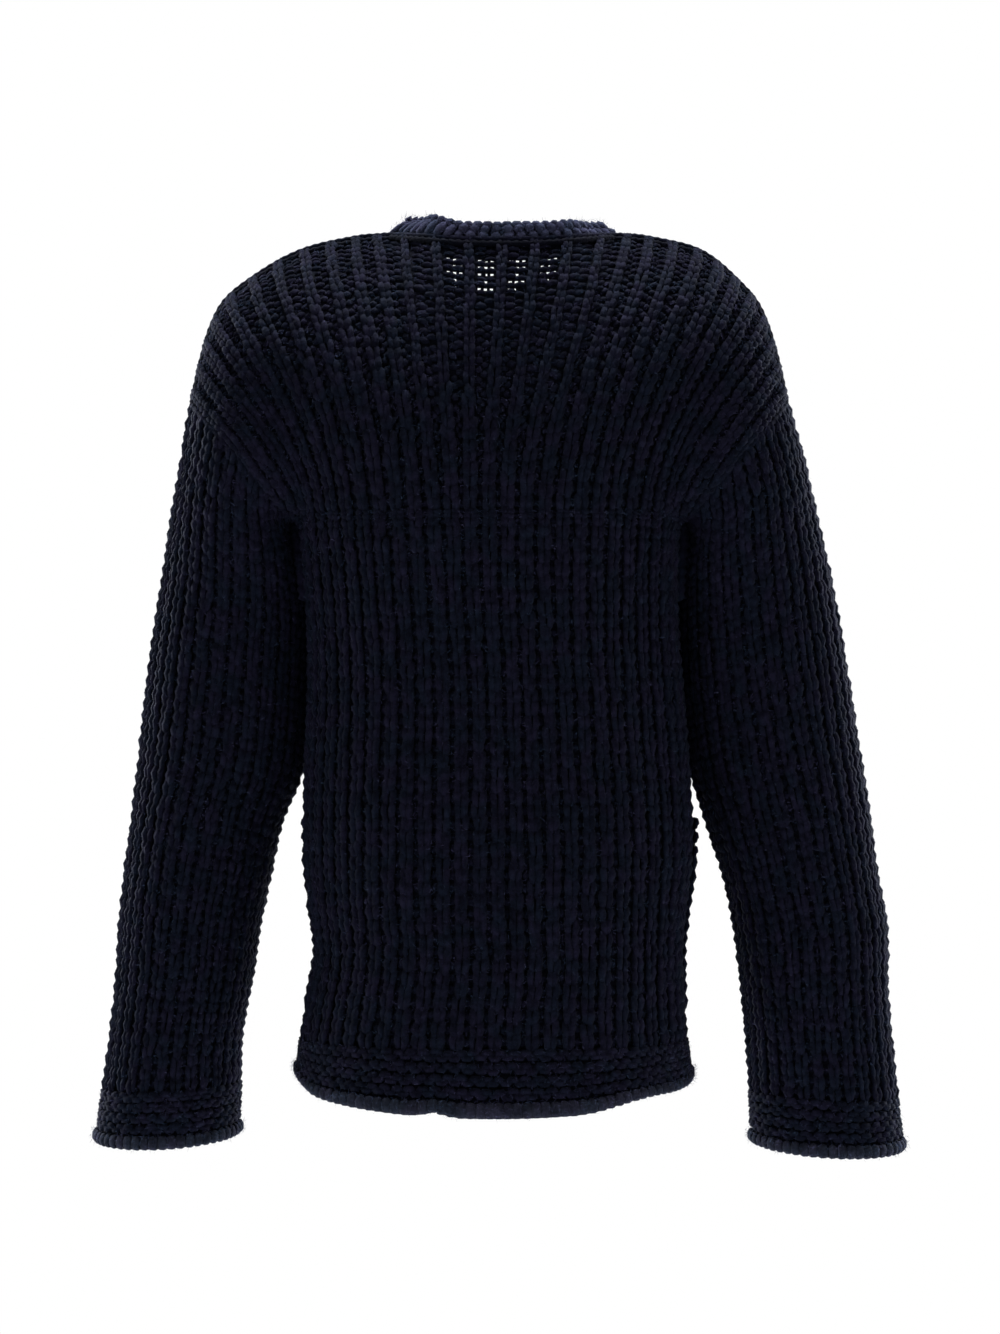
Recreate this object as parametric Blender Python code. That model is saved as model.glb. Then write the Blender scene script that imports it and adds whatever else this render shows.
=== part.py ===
"""Chunky rib-knit cardigan, worn shape with no wearer: hollow, buttoned, arms hanging.

Metres, +Z up.  The front faces -Y and the back +Y; +X is the wearer's left.  The origin lies
between the shoulders, at the height where the knit rests on them.

Every piece is a knit wall.  Its plain inside follows a base surface, worked out below from
the tables of sections, and its outside is lifted off that surface: WALL at the bottom of the
grooves and RIB_RISE more on the ribs or the garter ridges.
"""
import math
from collections import namedtuple
from functools import lru_cache

import bmesh
import bpy
import numpy as np

# ---------------------------------------------------------------- driving dimensions
WALL = 0.0028             # knit wall, from the plain inside to the bottom of a groove
RIB_RISE = 0.0032         # height of a rib above the grooves
SEAM_GAP = 0.0004         # between neighbouring pieces, along the seam

BACK_RIBS = 29
FRONT_RIBS = 14           # on each front, beside its band
SHOULDER_RIBS = 11        # ribs of a front, and of half the back, that end on the shoulder
SLEEVE_RIBS = 28          # round a sleeve, half of them on the back of the arm
NECK_RIBS = 48            # round the neckband
BAND_RIBS = 2             # lengthwise ribs of a front band
RIB_SHOULDERS = (0.25, 0.75)   # where a rib's flat top begins and ends within its pitch

HEM_TOP = -0.622          # height where the body's ribs end and the hem band starts
HEM_DEPTH_SIDE = 0.029    # depth of the hem band at the side seams
HEM_DEPTH_BACK = 0.053    # and at the middle of the back
HEM_DEPTH_FRONT = 0.044   # and at the front edges
CUFF_DEPTH = 0.042
CUFF_SAG = 0.005          # the front and back of a cuff hang lower than its sides
GARTER_RIDGES = 4         # ridges of the hem band and of the cuffs
RIDGES_SHARE = 0.74       # share of such a band that the ridges take; the rest rolls over
ROLL = ((0.82, 1.20), (0.93, 1.35), (1.0, 0.45))   # rolled edge: share of depth, share of rise
BAND_COLUMNS = 18         # columns of points along the back's hem band
CUFF_COLUMNS = 16

UNDERARM_Z = -0.2085      # top of the arch between the body and a sleeve
ARCH_RADIUS = 0.0120      # of that arch, on the base surface
ARCH_SPREAD = 0.22        # share of a panel's half width that bends into the arch
ARCH_ROWS = 0.07          # share of the body below the arm that the arch takes
ARM_REACH = 0.080         # handle of the armhole's curve, 4/3 of the arm's half depth

BAND_HALF = 0.016         # half the width of a front band
BAND_LAP = 0.0035         # the upper band is lifted, the lower one sunk, by this much
LAP_FADE = 0.040          # width over which a front or neckband eases into its lap
NECKBAND_HEIGHT = 0.015
NECKBAND_LEAN = 0.30      # inward lean of the neckband per unit of its height
NECKBAND_SIDE_LEAN = 1.1  # its lean on the shoulders, where it lies flatter
NECKBAND_LEFT_RISE = 0.0055            # how much higher it stands at the neck's left side
LEFT_RISE_FROM, LEFT_RISE_FADE = 0.018, 0.036    # distance out at which that starts
LEAN_FROM, LEAN_FADE = 0.046, 0.034    # distance out at which it starts to lie flatter
NECKBAND_GAP = 0.0005     # between it and the panels

FRONT_WIDTH = 0.198       # of one front round the body, from its middle to the side seam
BAND_SHARE = BAND_HALF / FRONT_WIDTH
NECK_MIDDLE = -0.015      # depth of the middle of the neck
NECK_SLANT = 0.8          # upward slant of the lift round the neck
NECK_FADE = 0.12          # share of a panel over which that lift turns to the shoulder's

SEAM_FADE = 0.16          # share of a panel over which its lift turns to the seam's own

BUTTONS = 6
BUTTON_RADIUS = 0.0125
BUTTON_THICKNESS = 0.0040
BUTTON_SIDES = 12
BUTTON_FROM_HEM = 0.020   # lowest button above the hem band
BUTTON_FROM_NECK = 0.020  # highest button below the neck seam

POCKET_ROWS = (0.05, 0.40)      # bottom and top of a pocket, as rows of the front
POCKET_RIBS = (3, 13)           # ribs of the front that a pocket covers, from its edge
POCKET_WALL = 0.0028
RIGHT_POCKET_GAPE = 0.0030      # its outer top corner stands this much further off

# One row for each level of the body below the arms: half width, sideways shift, and reach
# of the back and of the front from the shoulder line.
Torso = namedtuple("Torso", "height half_width shift back front")
TORSO = (
    Torso(-0.6750, 0.1515, 0.0020, 0.1120, 0.1130),
    Torso(-0.6500, 0.1500, 0.0024, 0.1110, 0.1125),
    Torso(-0.6220, 0.1470, 0.0024, 0.1090, 0.1120),
    Torso(-0.5925, 0.1432, 0.0010, 0.1080, 0.1120),
    Torso(-0.5500, 0.1390, -0.0018, 0.1065, 0.1115),
    Torso(-0.5150, 0.1432, -0.0008, 0.1050, 0.1110),
    Torso(-0.4700, 0.1475, -0.0010, 0.1020, 0.1095),
    Torso(-0.4100, 0.1465, 0.0000, 0.0970, 0.1065),
    Torso(-0.3550, 0.1430, 0.0010, 0.0945, 0.1050),
    Torso(-0.3050, 0.1410, 0.0030, 0.0960, 0.1065),
    Torso(-0.2600, 0.1420, 0.0050, 0.1000, 0.1100),
    Torso(-0.2085, 0.1455, 0.0060, 0.1050, 0.1130),
)
TORSO_ROUNDNESS = 2.35    # exponent of the body's sections; 2 is an ellipse

# Top edges of the panels: place, and the handle of the rib that runs down from it (reach
# away from the seam, drop).  The neck runs from its middle to its side, at the same row as
# the shoulder line, which runs on to the outside of the arm.
TopEdge = namedtuple("TopEdge", "across height depth reach drop")
NECK_SIDE = TopEdge(0.0860, 0.0092, 0.0060, 0.078, 0.045)
BACK_NECK = (
    TopEdge(0.0000, 0.0004, 0.0580, 0.042, 0.060),
    TopEdge(0.0300, 0.0014, 0.0540, 0.045, 0.059),
    TopEdge(0.0600, 0.0050, 0.0370, 0.058, 0.054),
    NECK_SIDE,
)
FRONT_NECK = (
    TopEdge(0.0000, -0.0480, -0.0880, 0.022, 0.060),
    TopEdge(0.0350, -0.0420, -0.0790, 0.030, 0.060),
    TopEdge(0.0650, -0.0230, -0.0500, 0.050, 0.056),
    NECK_SIDE,
)
SHOULDER = (
    NECK_SIDE,
    TopEdge(0.1200, 0.0052, -0.0060, 0.092, 0.040),
    TopEdge(0.1570, -0.0040, -0.0100, 0.096, 0.036),
    TopEdge(0.1885, -0.0245, -0.0120, 0.096, 0.030),
    TopEdge(0.2080, -0.0434, -0.0120, 0.092, 0.024),
    TopEdge(0.2165, -0.0616, -0.0110, 0.088, 0.018),
    TopEdge(0.2222, -0.0810, -0.0090, 0.084, 0.010),
    TopEdge(0.2316, -0.1235, -0.0070, ARM_REACH, 0.0),
)
NECK_SHIFT = -0.004       # the neck sits a little to the wearer's right
SHOULDER_SHIFT = 0.006    # and the ends of the shoulders a little to the left
SHIFT_FROM = 0.140        # distance out at which the one starts to turn into the other
SHIFT_FADE = 0.080

# A sleeve's rings below the armhole: height of its middle, how much higher its outer side is,
# how far its outer and inner sides stand from the body's middle on the left and on the right,
# and the depth of its middle and its half depth.
Ring = namedtuple("Ring", "height tilt left_out left_in right_out right_in depth half_depth")
SLEEVE = (
    Ring(-0.1978, 0.0571, 0.2454, 0.1662, 0.2391, 0.1552, -0.0110, 0.0595),
    Ring(-0.2292, 0.0445, 0.2529, 0.1605, 0.2485, 0.1512, -0.0210, 0.0590),
    Ring(-0.2657, 0.0335, 0.2598, 0.1550, 0.2590, 0.1490, -0.0320, 0.0580),
    Ring(-0.3203, 0.0247, 0.2697, 0.1540, 0.2705, 0.1495, -0.0370, 0.0580),
    Ring(-0.3638, 0.0176, 0.2758, 0.1550, 0.2782, 0.1535, -0.0390, 0.0585),
    Ring(-0.4077, 0.0096, 0.2808, 0.1605, 0.2860, 0.1610, -0.0410, 0.0590),
    Ring(-0.4493, 0.0064, 0.2861, 0.1770, 0.2929, 0.1735, -0.0420, 0.0580),
    Ring(-0.4882, 0.0024, 0.2915, 0.1851, 0.2983, 0.1855, -0.0440, 0.0560),
    Ring(-0.5280, 0.0008, 0.2965, 0.1933, 0.3065, 0.1940, -0.0470, 0.0540),
    Ring(-0.5790, -0.0024, 0.3001, 0.2011, 0.3077, 0.2005, -0.0510, 0.0520),
    Ring(-0.6262, -0.0048, 0.3056, 0.2097, 0.3120, 0.2053, -0.0550, 0.0505),
    Ring(-0.6639, -0.0072, 0.3112, 0.2112, 0.3164, 0.2075, -0.0590, 0.0510),
)
RIGHT_SLEEVE_LONGER = 0.007     # the right arm hangs lower

BODY_LEVELS = (0.0, POCKET_ROWS[0], 0.22, POCKET_ROWS[1], 0.57, 0.75, 0.93, 0.965, 1.0)
GAP_BELOW = SEAM_GAP / 2 / 0.42      # half a seam's gap as a share of the rows it cuts
GAP_ABOVE = SEAM_GAP / 2 / 0.21
GAP_HEM = SEAM_GAP / 2 / HEM_DEPTH_SIDE
YOKE_ROWS = 7             # rows of faces above the underarm; a sleeve takes two ribs each
SLEEVE_LEVELS = (0.0, 0.05, 0.13, 0.25, 0.38, 0.50, 0.60, 0.72, 0.87, 1.0)
UP = np.array((0.0, 0.0, 1.0))
BACKWARD = np.array((0.0, 1.0, 0.0))
LEFT, RIGHT = 1.0, -1.0


# ---------------------------------------------------------------- small mathematics
def unit(vector):
    return vector / max(np.linalg.norm(vector), 1e-12)


def ease(x):
    """Smooth step from 0 to 1."""
    x = min(max(x, 0.0), 1.0)
    return x * x * (3.0 - 2.0 * x)


def spline(knots, rows, x):
    """Point at x of the smooth curve through the rows, which stand at rising knots."""
    knots = np.asarray(knots, float)
    rows = np.asarray(rows, float)
    steps = np.diff(knots)
    rates = np.diff(rows, axis=0) / steps[:, None]
    slopes = np.empty_like(rows)
    slopes[0], slopes[-1] = rates[0], rates[-1]
    before, after = steps[:-1, None], steps[1:, None]
    slopes[1:-1] = (rates[:-1] * after + rates[1:] * before) / (before + after)
    i = int(np.clip(np.searchsorted(knots, x) - 1, 0, len(knots) - 2))
    t = (x - knots[i]) / steps[i]
    return ((1 + 2 * t) * (1 - t) ** 2 * rows[i] + t * t * (3 - 2 * t) * rows[i + 1]
            + steps[i] * (t * (1 - t) ** 2 * slopes[i] - t * t * (1 - t) * slopes[i + 1]))


def chord_lengths(points):
    """Distance along a run of points, from the first one."""
    steps = np.linalg.norm(np.diff(points, axis=0), axis=1)
    return np.concatenate(((0.0,), np.cumsum(steps)))


def bezier(ends, t):
    """Point of the cubic curve with the four control points."""
    a, b, c, d = ends
    s = 1.0 - t
    return s ** 3 * a + 3 * s * s * t * b + 3 * s * t * t * c + t ** 3 * d


# ---------------------------------------------------------------- body below the arms
@lru_cache(maxsize=None)
def half_section(face, height):
    """One half of the body's section, from the right side seam to the left one."""
    half_width, shift, back, front = spline([t.height for t in TORSO],
                                            [t[1:] for t in TORSO], height)
    reach = back if face == "back" else -front
    angles = np.linspace(math.pi, 0.0, 97)
    power = 2.0 / TORSO_ROUNDNESS
    x = shift + half_width * np.sign(np.cos(angles)) * np.abs(np.cos(angles)) ** power
    y = reach * np.abs(np.sin(angles)) ** power
    points = np.stack((x, y, np.full_like(x, height)), axis=1)
    return chord_lengths(points), points


def section_point(face, across, height):
    """Point of the section; across runs from -1, the right side seam, to 1, the left."""
    lengths, points = half_section(face, round(float(height), 6))
    at = 0.5 * (across + 1.0) * lengths[-1]
    return np.array([np.interp(at, lengths, points[:, k]) for k in range(3)])


def hem_depth(face, across):
    """Depth of the hem band, greatest at the middle of the back and of the front."""
    middle = HEM_DEPTH_BACK if face == "back" else HEM_DEPTH_FRONT
    return HEM_DEPTH_SIDE + (middle - HEM_DEPTH_SIDE) * (1.0 - across * across)


def body_point(face, across, row):
    """Base surface below the arms: row -1 is the hem, 0 the hem band's top, 1 the underarm."""
    if row <= 0.0:
        return section_point(face, across, HEM_TOP + row * hem_depth(face, across))
    arch_foot = UNDERARM_Z - ARCH_RADIUS
    if row <= 1.0 - ARCH_ROWS:
        return section_point(face, across, HEM_TOP + (arch_foot - HEM_TOP) * row / (1.0 - ARCH_ROWS))
    turn = 0.5 * math.pi * (row - 1.0 + ARCH_ROWS) / ARCH_ROWS
    point = section_point(face, across, arch_foot + ARCH_RADIUS * math.sin(turn))
    bend = ease((abs(across) - 1.0 + ARCH_SPREAD) / ARCH_SPREAD)
    point[0] += math.copysign(ARCH_RADIUS * (1.0 - math.cos(turn)) * bend, across)
    return point


# ---------------------------------------------------------------- yoke above the underarm
@lru_cache(maxsize=None)
def shoulder_table():
    """The shoulder line as fine points, with their distance from the neck."""
    rows = np.array(SHOULDER)
    knots = chord_lengths(rows[:, :3])
    curve = np.array([spline(knots, rows, k) for k in np.linspace(0.0, knots[-1], 121)])
    return chord_lengths(curve[:, :3]), curve


def neck_row(face, across):
    """Row of the neck curve at a distance from the middle of the body."""
    rows = np.array(BACK_NECK if face == "back" else FRONT_NECK)
    return spline(rows[:, 0], rows, across)


def corner_share(face):
    """Share of a panel's half width where its neck ends and its shoulder starts."""
    if face == "back":
        return 1.0 - 2.0 * SHOULDER_RIBS / BACK_RIBS
    return BAND_SHARE + (1.0 - BAND_SHARE) * (1.0 - SHOULDER_RIBS / FRONT_RIBS)


def top_row(face, share):
    """Row of a panel's top edge at a share of its half width."""
    corner = corner_share(face)
    if share >= corner:
        lengths, curve = shoulder_table()
        at = (share - corner) / (1.0 - corner) * lengths[-1]
        return np.array([np.interp(at, lengths, curve[:, k]) for k in range(5)])
    if face == "back":
        return neck_row(face, NECK_SIDE.across * share / corner)
    return neck_row(face, np.interp(share, (0.0, BAND_SHARE, corner),
                                    (0.0, BAND_HALF, NECK_SIDE.across)))


def top_edge(face, across):
    """Point of a panel's top edge and the handle of the rib that ends there."""
    out, height, depth, reach, drop = top_row(face, abs(across))
    side = math.copysign(1.0, across)
    shift = NECK_SHIFT + (SHOULDER_SHIFT - NECK_SHIFT) * ease((out - SHIFT_FROM) / SHIFT_FADE)
    turn = 1.0 if face == "back" else -1.0
    return (np.array((side * out + shift, depth, height)),
            np.array((0.0, turn * reach, -drop)))


@lru_cache(maxsize=None)
def rib_curve(face, across):
    """The line of one rib over the yoke, from the underarm row up to the top edge."""
    start = body_point(face, across, 1.0)
    below = section_point(face, across, UNDERARM_Z - 0.03)
    level = section_point(face, across, UNDERARM_Z)
    end, end_handle = top_edge(face, across)
    length = 0.34 * np.linalg.norm(end - start)
    turn = 1.0 if face == "back" else -1.0
    edge = ease((abs(across) - 0.66) / 0.34)
    handle = unit(level - below) * length * (1.0 - edge) + turn * BACKWARD * ARM_REACH * edge
    controls = (start, start + handle, end + end_handle, end)
    points = np.array([bezier(controls, t) for t in np.linspace(0.0, 1.0, 41)])
    return chord_lengths(points), points


def panel_point(face, across, row):
    """Base surface of a panel: rows 0 to 1 below the underarm, 1 to 2 above it."""
    if row <= 1.0:
        return body_point(face, across, row)
    lengths, points = rib_curve(face, round(float(across), 6))
    at = (row - 1.0) * lengths[-1]
    return np.array([np.interp(at, lengths, points[:, k]) for k in range(3)])


# ---------------------------------------------------------------- which way is out
def surface_normal(surface, u, v, step_u=0.012, step_v=0.02, u_ends=(-1, 1), v_ends=(0, 2)):
    """Normal of a base surface by differences kept inside its ends, not yet turned outward."""
    u0, u1 = max(u - step_u, u_ends[0]), min(u + step_u, u_ends[1])
    v0, v1 = max(v - step_v, v_ends[0]), min(v + step_v, v_ends[1])
    return unit(np.cross(surface(u1, v) - surface(u0, v), surface(u, v1) - surface(u, v0)))


def armhole_out(side, climb, turn):
    """Shared lift along an armhole: climb is 0 under the arm and 1 on its outer side."""
    angle = math.pi * climb
    outer = np.array((side * 0.95, 0.0, 0.30)) * max(-math.cos(angle), 0.0)
    under = -UP * max(math.cos(angle), 0.0)
    return unit(outer + under + turn * BACKWARD * math.sin(angle))


def neck_radial(point):
    """Level direction away from the middle of the neck."""
    return unit(np.array((point[0] - NECK_SHIFT, point[1] - NECK_MIDDLE, 0.0)))


def neck_out(point):
    """Shared lift of the panels and the neckband round the neck."""
    return unit(neck_radial(point) + NECK_SLANT * UP)


def top_edge_out(face, across):
    """Shared lift along the shoulder seam and round the neck."""
    side = math.copysign(1.0, across)
    corner = corner_share(face)
    here, _ = top_edge(face, across)
    if abs(across) <= corner:
        return neck_out(here)
    step = 0.01
    near, _ = top_edge(face, side * max(abs(across) - step, corner))
    far, _ = top_edge(face, side * min(abs(across) + step, 1.0))
    shoulder = unit(np.cross(unit(far - near) * side, BACKWARD))
    blend = ease((abs(across) - corner) / NECK_FADE)
    return unit(neck_out(here) * (1.0 - blend) + shoulder * blend)


def panel_out(face, across, row):
    """Outward lift of a panel, eased into the shared lift at its armhole and top edge."""
    turn = 1.0 if face == "back" else -1.0
    normal = -turn * surface_normal(lambda u, v: panel_point(face, u, v), across, row)
    if row <= 1.0 - ARCH_ROWS:
        return normal
    to_side = 1.0 - abs(across)
    to_top = 2.0 - row
    if row >= 1.0 and to_side < SEAM_FADE:
        side = math.copysign(1.0, across)
        seam = armhole_out(side, row - 1.0, turn)
        normal = unit(normal + (seam - normal) * ease(1.0 - to_side / SEAM_FADE))
    if to_top < SEAM_FADE:
        seam = top_edge_out(face, across)
        normal = unit(normal + (seam - normal) * ease(1.0 - to_top / SEAM_FADE))
    return normal


# ---------------------------------------------------------------- sleeves
@lru_cache(maxsize=None)
def sleeve_rings(side):
    """A sleeve's rings as rows: outermost x and z, innermost x and z, depth and half depth."""
    rings = []
    for ring in SLEEVE:
        outer, inner = ring.left_out, ring.left_in
        height = ring.height
        if side == RIGHT:
            outer, inner = ring.right_out, ring.right_in
            share = (SLEEVE[0].height - height) / (SLEEVE[0].height - SLEEVE[-1].height)
            height -= RIGHT_SLEEVE_LONGER * share
        rings.append((side * outer, height + ring.tilt / 2, side * inner, height - ring.tilt / 2,
                      ring.depth, ring.half_depth))
    return np.array(rings)


def ring_point(ring, climb, turn):
    """Point of a ring; climb runs from 0, its inner side, to 1, its outer side."""
    outer_x, outer_z, inner_x, inner_z, depth, half_depth = ring
    angles = np.linspace(0.0, math.pi, 49)
    share = 0.5 - 0.5 * np.cos(angles)
    points = np.stack((inner_x + (outer_x - inner_x) * share,
                       depth + turn * half_depth * np.sin(angles),
                       inner_z + (outer_z - inner_z) * share), axis=1)
    lengths = chord_lengths(points)
    return np.array([np.interp(climb * lengths[-1], lengths, points[:, k]) for k in range(3)])


def armhole_point(side, climb, turn):
    """Point of the armhole, on the straight edges between the panel's own rows."""
    face = "back" if turn > 0 else "front"
    low = min(int(climb * YOKE_ROWS), YOKE_ROWS - 1)
    a = panel_point(face, side, 1.0 + low / YOKE_ROWS)
    b = panel_point(face, side, 1.0 + (low + 1) / YOKE_ROWS)
    return a + (b - a) * (climb * YOKE_ROWS - low)


@lru_cache(maxsize=None)
def sleeve_line(side, climb, turn):
    """One line down a sleeve, through the armhole and all its rings."""
    points = [armhole_point(side, climb, turn)]
    points += [ring_point(ring, climb, turn) for ring in sleeve_rings(side)]
    points = np.array(points)
    knots = chord_lengths(points)
    fine = np.array([spline(knots, points, k) for k in np.linspace(0.0, knots[-1], 81)])
    return chord_lengths(fine), fine


def round_place(column, columns):
    """Climb and turn of a column that goes round a sleeve from the underarm by the back."""
    around = (column / columns) % 1.0
    if around <= 0.5:
        return round(2.0 * around, 6), 1.0
    return round(2.0 - 2.0 * around, 6), -1.0


def sleeve_point(side, column, along):
    """Base surface of a sleeve: column counts ribs, along runs from 0 to 1 at the cuff."""
    climb, turn = round_place(column, SLEEVE_RIBS)
    lengths, points = sleeve_line(side, climb, turn)
    at = along * lengths[-1]
    return np.array([np.interp(at, lengths, points[:, k]) for k in range(3)])


def sleeve_out(side, column, along):
    """Outward lift of a sleeve, shared with the panels at the armhole."""
    column = column % SLEEVE_RIBS
    normal = side * surface_normal(lambda u, v: sleeve_point(side, u, v), column, along,
                                   0.35, 0.012, (-1, SLEEVE_RIBS + 1), (0, 1))
    climb, turn = round_place(column, SLEEVE_RIBS)
    seam = armhole_out(side, climb, turn)
    return unit(normal + (seam - normal) * ease(1.0 - along / 0.10))


def cuff_point(side, column, share):
    """Base surface of a cuff, which carries on from its sleeve; share is 1 at its edge."""
    end = sleeve_point(side, column, 1.0)
    along = unit(end - sleeve_point(side, column, 0.97))
    climb, _ = round_place(column, SLEEVE_RIBS)
    depth = CUFF_DEPTH + CUFF_SAG * math.sin(math.pi * climb)
    return end + along * (SEAM_GAP / 2 + depth * share)


# ---------------------------------------------------------------- fronts' lap and neckband
def front_across(side, share):
    """Across of a front at a share of its width, 0 at its band and 1 at the side seam."""
    return side * (BAND_SHARE + (1.0 - BAND_SHARE) * share)


def lap(side, across):
    """Lift by which the right front, its band and its end of the neckband lie over the left."""
    fade = ease(1.0 - (abs(across) * FRONT_WIDTH - BAND_HALF) / LAP_FADE)
    return -side * BAND_LAP * fade


@lru_cache(maxsize=None)
def neck_ring():
    """The neck seam from under the lap round by the left to the lap's top, and its laps.

    It runs straight between the grooves of the fronts and the back, as their own edges do.
    """
    front_neck = range(FRONT_RIBS - SHOULDER_RIBS + 1)
    left = [BAND_SHARE * half / 2.0 for half in (-2, -1, 0, 1)]
    left += [front_across(LEFT, rib / FRONT_RIBS) for rib in front_neck]
    right = [-across for across in reversed(left)]
    back_neck = range(BACK_RIBS - SHOULDER_RIBS - 1, SHOULDER_RIBS, -1)
    back = [2.0 * rib / BACK_RIBS - 1.0 for rib in back_neck]
    rows = [np.append(top_edge("front", across)[0], lap(LEFT, across)) for across in left]
    rows += [np.append(top_edge("back", across)[0], 0.0) for across in back]
    rows += [np.append(top_edge("front", across)[0], lap(RIGHT, across)) for across in right]
    rows = np.array(rows)
    return chord_lengths(rows[:, :3]), rows


def neck_seam(share):
    """Point of the neck seam at a share of its length, and its lap."""
    lengths, rows = neck_ring()
    row = [np.interp(share * lengths[-1], lengths, rows[:, k]) for k in range(4)]
    return np.array(row[:3]), row[3]


def neckband_lean(point):
    """Inward lean of the neckband where it leaves a point of the neck seam."""
    out = abs(point[0] - NECK_SHIFT)
    return NECKBAND_LEAN + (NECKBAND_SIDE_LEAN - NECKBAND_LEAN) * ease((out - LEAN_FROM) / LEAN_FADE)


def neckband_out(share, climb):
    """Lift of the neckband: the panels' own at the seam, square to the band higher up."""
    point, _ = neck_seam(share)
    seam = neck_out(point)
    square = unit(neck_radial(point) + neckband_lean(point) * UP)
    return unit(seam + (square - seam) * ease(climb))


def neckband_point(share, climb):
    """Base surface of the neckband, at a share of its length and of its height."""
    point, shift = neck_seam(share)
    along = unit(UP - neckband_lean(point) * neck_radial(point))
    higher = NECKBAND_LEFT_RISE * ease((point[0] - LEFT_RISE_FROM) / LEFT_RISE_FADE)
    rise = NECKBAND_GAP + (NECKBAND_HEIGHT + higher) * climb
    return point + along * rise + neckband_out(share, climb) * shift


# ---------------------------------------------------------------- building closed walls
def rib_columns(first, last, ribs, closed=False, tops=RIB_SHOULDERS):
    """Columns of a ribbed wall: place, lift as a share of the rib, and if it is a groove."""
    pitch = (last - first) / ribs
    columns = []
    for rib in range(ribs):
        start = first + rib * pitch
        columns.append((start, 0.0, True))
        columns.extend((start + pitch * place, 1.0, False) for place in tops)
    if not closed:
        columns.append((last, 0.0, True))
    return columns


def add_wall(name, outer, inner, groove, closed, finish):
    """Closed solid between an outer grid and a coarser inner one.

    Grids are lists of columns of points.  Inner column k backs the outer column groove[k].
    """
    mesh = bmesh.new()
    out = [[mesh.verts.new(p) for p in column] for column in outer]
    ins = [[mesh.verts.new(p) for p in column] for column in inner]
    rows = len(outer[0])
    out_pairs = list(zip(out, out[1:]))
    spans = list(zip(groove, groove[1:]))
    in_pairs = list(zip(ins, ins[1:]))
    if closed:
        out_pairs.append((out[-1], out[0]))
        spans.append((groove[-1], len(out)))
        in_pairs.append((ins[-1], ins[0]))
    for a, b in out_pairs:
        for j in range(rows - 1):
            mesh.faces.new((a[j], b[j], b[j + 1], a[j + 1]))
    for a, b in in_pairs:
        for j in range(rows - 1):
            mesh.faces.new((a[j + 1], b[j + 1], b[j], a[j]))
    for (first, last), (a, b) in zip(spans, in_pairs):
        rim = [out[i % len(out)] for i in range(first, last + 1)]
        mesh.faces.new([a[0], b[0]] + [column[0] for column in reversed(rim)])
        mesh.faces.new([b[-1], a[-1]] + [column[-1] for column in rim])
    if not closed:
        for j in range(rows - 1):
            mesh.faces.new((ins[0][j], out[0][j], out[0][j + 1], ins[0][j + 1]))
            mesh.faces.new((out[-1][j], ins[-1][j], ins[-1][j + 1], out[-1][j + 1]))
    return finish_mesh(name, mesh, finish)


def finish_mesh(name, mesh, finish):
    """Turn a bmesh into the named object, in triangles, with its material."""
    bmesh.ops.recalc_face_normals(mesh, faces=mesh.faces)
    bmesh.ops.triangulate(mesh, faces=mesh.faces[:])
    data = bpy.data.meshes.new(name)
    mesh.to_mesh(data)
    mesh.free()
    item = bpy.data.objects.new(name, data)
    bpy.context.scene.collection.objects.link(item)
    data.materials.append(finish)
    data.shade_smooth()
    data.set_sharp_from_angle(angle=math.radians(50))
    return item


def ribbed_wall(name, point, out, columns, levels, finish, closed=False):
    """Wall with lengthwise ribs on the surface point(u, v), lifted along out(u, v)."""
    outer, inner, groove = [], [], []
    for index, (u, lift, is_groove) in enumerate(columns):
        base = [point(u, v) for v in levels]
        away = [out(u, v) for v in levels]
        outer.append([p + n * (WALL + RIB_RISE * lift) for p, n in zip(base, away)])
        if is_groove:
            groove.append(index)
            inner.append(base)
    return add_wall(name, outer, inner, groove, closed, finish)


def garter_profile():
    """Outer points of a garter band, from its seam down: share of its depth and of the rise."""
    points = [(0.0, 0.0)]
    for ridge in range(GARTER_RIDGES):
        points.append(((ridge + 0.5) / GARTER_RIDGES * RIDGES_SHARE, 1.0))
        points.append(((ridge + 1.0) / GARTER_RIDGES * RIDGES_SHARE, 0.0))
    return points + list(ROLL)


def garter_band(name, point, out, places, finish, closed=False):
    """Band with ridges along it and a rolled edge, through one loop of points per place."""
    mesh = bmesh.new()
    loops = []
    for u in places:
        away = out(u)
        loop = [point(u, v) + away * (WALL + RIB_RISE * lift) for v, lift in garter_profile()]
        loop += [point(u, v) for v in (0.98, 0.5, 0.0)]
        loops.append([mesh.verts.new(p) for p in loop])
    pairs = list(zip(loops, loops[1:]))
    if closed:
        pairs.append((loops[-1], loops[0]))
    else:
        mesh.faces.new(loops[0])
        mesh.faces.new(loops[-1])
    for a, b in pairs:
        for j in range(len(a)):
            mesh.faces.new((a[j - 1], b[j - 1], b[j], a[j]))
    return finish_mesh(name, mesh, finish)


def turned_disc(name, profile, sides, place, axis, finish):
    """Solid turned from a profile of (radius, height), standing at place along axis."""
    mesh = bmesh.new()
    across = unit(np.cross(UP, axis))
    upward = np.cross(axis, across)
    rings = []
    for radius, height in profile:
        turns = [2.0 * math.pi * k / sides for k in range(sides)]
        rings.append([mesh.verts.new(place + axis * height + radius * (math.cos(t) * across
                                                                       + math.sin(t) * upward))
                      for t in turns])
    for a, b in zip(rings, rings[1:]):
        for k in range(sides):
            mesh.faces.new((a[k - 1], a[k], b[k], b[k - 1]))
    mesh.faces.new(rings[0])
    mesh.faces.new(rings[-1])
    return finish_mesh(name, mesh, finish)


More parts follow.
